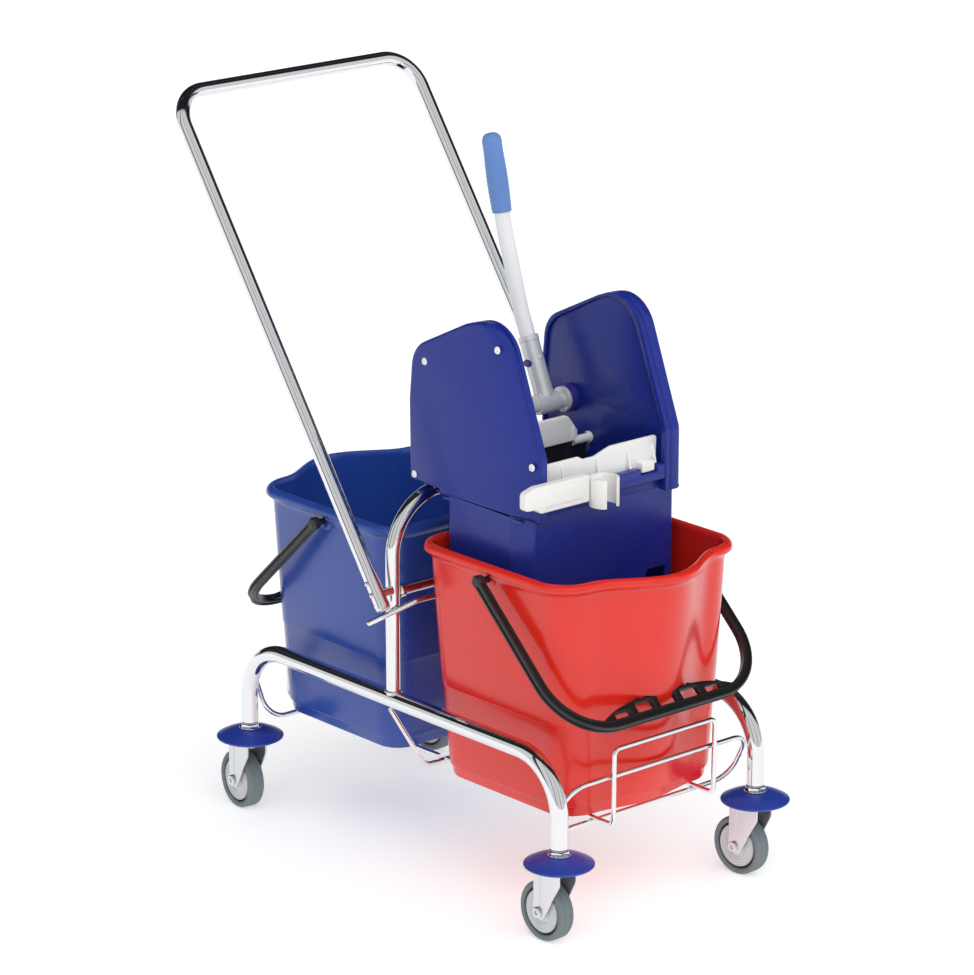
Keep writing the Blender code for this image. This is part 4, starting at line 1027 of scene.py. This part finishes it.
def build_lever():
    base = Vector((LEVER_X, SHAFT_Y, SHAFT_Z))
    lean = LEVER_LEAN
    corners = [base + lean * 0.047, base + lean * 0.118, base + Vector((0, 0.078, 0.205))]
    corners += [base + Vector((0, 0.103, 0.318))]
    rod = bmesh.new()
    sweep(rod, fillet(corners, 0.160, steps=16), 0.0099, 36)
    low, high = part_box("lever_button")
    centre = (low + high) / 2 - Vector((0, CART_Y, 0)) - lean * 0.0095
    size = (high.z - low.z) / 2
    pocket = (centre, size + 0.0006, LEVER_X - 0.0200, LEVER_X - 0.0040)
    rod = carve(rod, oval_plug(*pocket))
    add_piece("lever_rod", rod, "white_coat", "lever", ["lever_tube"])
    sleeve = bmesh.new()
    cup = [(0.0104, 0.0480), (0.0104, 0.0850), (0.0120, 0.0856), (0.0127, 0.0850), (0.0128, 0.0838),
           (0.0128, 0.0790)]
    cup += [(0.0123, 0.0784), (0.0123, 0.0100), (0.0118, 0.0060), (0, 0.0060), (0, 0.0480)]
    lathe(sleeve, cup, 48, along(lean, base))
    sleeve = carve(sleeve, oval_plug(*pocket))
    sweep(sleeve, [base + Vector((-0.0160, 0, 0)), base + Vector((0.0160, 0, 0))], 0.0130, 36, edge=0.0010)
    bolt = base + lean * 0.0560 + lean.cross(Vector((1, 0, 0))) * -0.0122
    lathe(sleeve, [(0, 0.0018), (0.0018, 0.0016), (0.0030, 0.0008), (0.0034, -0.0006), (0, -0.0006)], 20,
          along(lean.cross(Vector((-1, 0, 0))), bolt))
    add_piece("lever_sleeve", sleeve, "silver_coat", "lever", ["lever_socket"])
    shaft = bmesh.new()
    end = 0.1155
    turned = [(0, -end), (0.0052, -end), (0.0059, -end + 0.0007), (0.0059, -0.0918), (0.0088, -0.0916)]
    turned += [(0.0095, -0.0908), (0.0095, 0.0830), (0.0120, 0.0838), (0.0156, 0.0842), (0.0159, 0.0850)]
    turned += [(0.0159, 0.0890), (0.0150, 0.0895), (0.0059, 0.0896), (0.0059, end - 0.0007), (0.0052, end),
               (0, end)]
    lathe(shaft, turned, 48, along((1, 0, 0), (0, SHAFT_Y, SHAFT_Z)))
    add_piece("wringing_shaft", shaft, "silver_coat", "lever", ["lever_shaft"])
    button = oval_plug(centre, size, low.x, high.x)
    add_piece("button_cap", button, "nylon", "detent_button", ["lever_button"])
    top = corners[3]
    grip_lean = (corners[3] - corners[2]).normalized()
    grip = bmesh.new()
    length, fingers = 0.094, 34
    skin = [(0.0112, -length), (0.0119, -length + 0.0004)]
    for k in range(fingers + 1):
        share = k / fingers
        belly = 0.0011 * math.sin(math.pi * min(1.0, share * 1.15))
        ripple = 0.00022 * math.cos(2 * math.pi * share * fingers / 2)
        skin.append((0.0122 + belly + ripple, -length + 0.0010 + (length - 0.0090) * share))
    skin += [(0.0124, -0.0060), (0.0116, -0.0020), (0.0098, 0.0016), (0.0070, 0.0038), (0.0036, 0.0048),
             (0, 0.0050)]
    skin += [(0, 0.0004), (0.0112, 0.0004)]
    lathe(grip, skin, 48, along(grip_lean, top), bored=True)
    add_piece("hand_grip", grip, "grip_moulding", "lever", ["lever_grip"])
    keep_cad("white_moulding", "lever_pinion", "press_sector")


# ---------------------------------------------------------------- stage
CAMERA_PLACE = (-3.4599, -3.9528, 2.0555)
FLOOR_HALF = 12.0


def ramp(tree, value, low, high):
    """Nothing up to a low value and one from a high value on."""
    node = tree.nodes.new("ShaderNodeMapRange")
    node.inputs["From Min"].default_value = low
    node.inputs["From Max"].default_value = high
    tree.links.new(value, node.inputs["Value"])
    return node.outputs["Result"]


def product(tree, first, second):
    node = tree.nodes.new("ShaderNodeMath")
    node.operation = "MULTIPLY"
    tree.links.new(first, node.inputs[0])
    tree.links.new(second, node.inputs[1])
    return node.outputs[0]


def band_between(tree, value, low, high, soft):
    """One inside a band of a value and nothing outside it, with soft edges."""
    return product(tree, ramp(tree, value, low - soft, low + soft),
                   ramp(tree, value, high + soft, high - soft))


def build_surround(light):
    """A plain room for the chrome to mirror: pale walls, a dark upper back and a few dark uprights."""
    world = bpy.data.worlds.new("surround")
    bpy.context.scene.world = world
    world.use_nodes = True
    tree = world.node_tree
    sky = tree.nodes["Background"]
    place = tree.nodes.new("ShaderNodeTexCoord")
    split = tree.nodes.new("ShaderNodeSeparateXYZ")
    tree.links.new(place.outputs["Generated"], split.inputs["Vector"])
    facing = tree.nodes.new("ShaderNodeVectorMath")
    facing.operation = "DOT_PRODUCT"
    facing.inputs[1].default_value = (0.45, 0.55, 0.70)
    tree.links.new(place.outputs["Generated"], facing.inputs[0])
    gloom = product(tree, ramp(tree, facing.outputs["Value"], 0.40, 0.46),
                    ramp(tree, split.outputs["Z"], 0.10, 0.15))
    walls = tree.nodes.new("ShaderNodeMixRGB")
    walls.inputs["Color1"].default_value = (1, 1, 1, 1)
    walls.inputs["Color2"].default_value = (0.02, 0.02, 0.022, 1)
    tree.links.new(gloom, walls.inputs["Fac"])
    turn = tree.nodes.new("ShaderNodeMath")
    turn.operation = "ARCTAN2"
    tree.links.new(split.outputs["Y"], turn.inputs[0])
    tree.links.new(split.outputs["X"], turn.inputs[1])
    shade = walls.outputs["Color"]
    for low, high in ((-2.53, -2.43), (-1.66, -1.58), (-0.66, -0.56), (-0.08, 0.34), (1.75, 2.00),
                      (2.80, 2.98)):
        strip = band_between(tree, turn.outputs[0], low, high, 0.02)
        shade = mix_in(tree, shade, strip, (0.05, 0.05, 0.06))
    tree.links.new(shade, sky.inputs["Color"])
    sky.inputs["Strength"].default_value = 0.72 * light
    plain = tree.nodes.new("ShaderNodeBackground")
    plain.inputs["Color"].default_value = (1, 1, 1, 1)
    seen = tree.nodes.new("ShaderNodeLightPath")
    blend = tree.nodes.new("ShaderNodeMixShader")
    tree.links.new(seen.outputs["Is Camera Ray"], blend.inputs["Fac"])
    tree.links.new(sky.outputs["Background"], blend.inputs[1])
    tree.links.new(plain.outputs["Background"], blend.inputs[2])
    tree.links.new(blend.outputs["Shader"], tree.nodes["World Output"].inputs["Surface"])


def add_light(name, towards, spread, strength):
    """A broad far lamp that lights the whole floor evenly and isn't mirrored in the chrome."""
    lamp = bpy.data.lights.new(name, "SUN")
    lamp.angle = spread
    lamp.energy = strength
    holder = add_object(name, lamp)
    holder.rotation_euler = Vector(towards).to_track_quat("Z", "Y").to_euler()
    holder.visible_glossy = False


def build_stage(stage):
    material = bpy.data.materials.new("studio_floor")
    material.use_nodes = True
    shader = material.node_tree.nodes["Principled BSDF"]
    shader.inputs["Base Color"].default_value = (0.76, 0.76, 0.76, 1)
    shader.inputs["Roughness"].default_value = 0.85
    shader.inputs["Emission Color"].default_value = (1, 1, 1, 1)
    shader.inputs["Emission Strength"].default_value = 0.50
    mesh = bpy.data.meshes.new("studio_floor")
    corners = box_corners((-FLOOR_HALF, -FLOOR_HALF), (FLOOR_HALF, FLOOR_HALF))
    mesh.from_pydata([(x, y, 0) for x, y in corners], [], [(0, 1, 2, 3)])
    mesh.materials.append(material)
    floor = add_object("studio_floor", mesh)
    build_surround(stage.light)
    add_light("overhead", (0.10, -0.25, 1.0), 1.35, 1.35 * stage.light)
    add_light("front_fill", (-0.55, -0.75, 0.75), 0.9, 0.75 * stage.light)
    lens = bpy.data.cameras.new("camera")
    lens.lens = stage.lens
    lens.sensor_width = 36.0
    lens.clip_end = 60.0
    camera = add_object("camera", lens)
    camera.location = CAMERA_PLACE
    camera.rotation_euler = (RIGHT_ANGLE - stage.camera_tilt, 0, stage.camera_turn)
    bpy.context.scene.camera = camera
    bpy.context.scene.view_settings.view_transform = "Standard"


# ---------------------------------------------------------------- operators and panel
class TROLLEY_OT_finishes(bpy.types.Operator):
    """Make the trolley's finishes from its colour settings"""
    bl_idname = "trolley.finishes"
    bl_label = "Finishes"

    def execute(self, context):
        make_finishes(context.scene.trolley_colours)
        return {"FINISHED"}


class TROLLEY_OT_frame(bpy.types.Operator):
    """Build the chrome rails, the hoop, its crossbar and the rod that the handle stands on"""
    bl_idname = "trolley.frame"
    bl_label = "Frame Tubes"

    def execute(self, context):
        tubes = context.scene.trolley_tubes
        build_rails(tubes)
        build_hoop(tubes)
        build_rest_rod()
        return {"FINISHED"}


class TROLLEY_OT_racks(bpy.types.Operator):
    """Build the wire racks, guards and cradle that carry the pails"""
    bl_idname = "trolley.racks"
    bl_label = "Wire Racks"

    def execute(self, context):
        build_racks(context.scene.trolley_tubes)
        return {"FINISHED"}


class TROLLEY_OT_handle(bpy.types.Operator):
    """Build the push handle with its end rings, rivets and spacers"""
    bl_idname = "trolley.handle"
    bl_label = "Push Handle"

    def execute(self, context):
        build_handle(context.scene.trolley_tubes)
        return {"FINISHED"}


class TROLLEY_OT_casters(bpy.types.Operator):
    """Build the four casters with their bumper discs, forks and wheels"""
    bl_idname = "trolley.casters"
    bl_label = "Casters"

    def execute(self, context):
        for corner in CORNERS:
            at = caster_frame(corner)
            build_bumper(corner, at)
            build_stem(corner, at)
            build_fork(corner, at)
            build_wheel(corner, at)
        return {"FINISHED"}


class TROLLEY_OT_pails(bpy.types.Operator):
    """Build the two moulded pails"""
    bl_idname = "trolley.pails"
    bl_label = "Pails"

    def execute(self, context):
        build_pail("red_pail", RED_BACK_Y, -1, "red_moulding", "red_bucket")
        build_pail("blue_pail", BLUE_BACK_Y, 1, "pail_blue_moulding", "blue_bucket")
        return {"FINISHED"}


class TROLLEY_OT_bails(bpy.types.Operator):
    """Build the pails' black bails with their ladder grips"""
    bl_idname = "trolley.bails"
    bl_label = "Bails"

    def execute(self, context):
        build_bail("red", RED_BACK_Y, -1)
        build_bail("blue", BLUE_BACK_Y, 1)
        return {"FINISHED"}


class TROLLEY_OT_wringer(bpy.types.Operator):
    """Build the wringer's shell, walls, covers, hooks, clip and fixed jaw"""
    bl_idname = "trolley.wringer"
    bl_label = "Wringer"

    def execute(self, context):
        build_shell()
        build_wringer_walls()
        build_covers()
        build_hooks()
        build_bushes()
        build_front_jaw()
        build_clip()
        return {"FINISHED"}


class TROLLEY_OT_lever(bpy.types.Operator):
    """Build the lever with its sleeve, button and grip, and the jaw it presses"""
    bl_idname = "trolley.lever"
    bl_label = "Lever and Moving Jaw"

    def execute(self, context):
        build_lever()
        build_press()
        return {"FINISHED"}


class TROLLEY_OT_stage(bpy.types.Operator):
    """Build the floor, the soft studio light and the camera"""
    bl_idname = "trolley.stage"
    bl_label = "Stage"

    def execute(self, context):
        build_stage(context.scene.trolley_stage)
        return {"FINISHED"}


OPERATORS = (TROLLEY_OT_finishes, TROLLEY_OT_stage, TROLLEY_OT_frame, TROLLEY_OT_racks, TROLLEY_OT_handle,
             TROLLEY_OT_casters, TROLLEY_OT_pails, TROLLEY_OT_bails, TROLLEY_OT_wringer, TROLLEY_OT_lever)
SETTINGS = (("trolley_tubes", TrolleyTubes), ("trolley_colours", TrolleyColours),
            ("trolley_stage", TrolleyStage))


class TROLLEY_PT_pieces(bpy.types.Panel):
    bl_idname = "TROLLEY_PT_pieces"
    bl_label = "Mop Trolley"
    bl_space_type = "VIEW_3D"
    bl_region_type = "UI"
    bl_category = "Mop Trolley"

    def draw(self, context):
        for operator in OPERATORS:
            self.layout.operator(operator.bl_idname)
        for name, group in SETTINGS:
            box = self.layout.box()
            for field in group.__annotations__:
                box.prop(getattr(context.scene, name), field)


def register():
    for name, group in SETTINGS:
        bpy.utils.register_class(group)
        setattr(bpy.types.Scene, name, PointerProperty(type=group))
    for cls in (*OPERATORS, TROLLEY_PT_pieces):
        bpy.utils.register_class(cls)


def unregister():
    for cls in (TROLLEY_PT_pieces, *reversed(OPERATORS)):
        bpy.utils.unregister_class(cls)
    for name, group in reversed(SETTINGS):
        delattr(bpy.types.Scene, name)
        bpy.utils.unregister_class(group)


def main():
    register()
    for operator in OPERATORS:
        getattr(bpy.ops.trolley, operator.bl_idname.split(".")[1])()


if __name__ == "__main__":
    main()
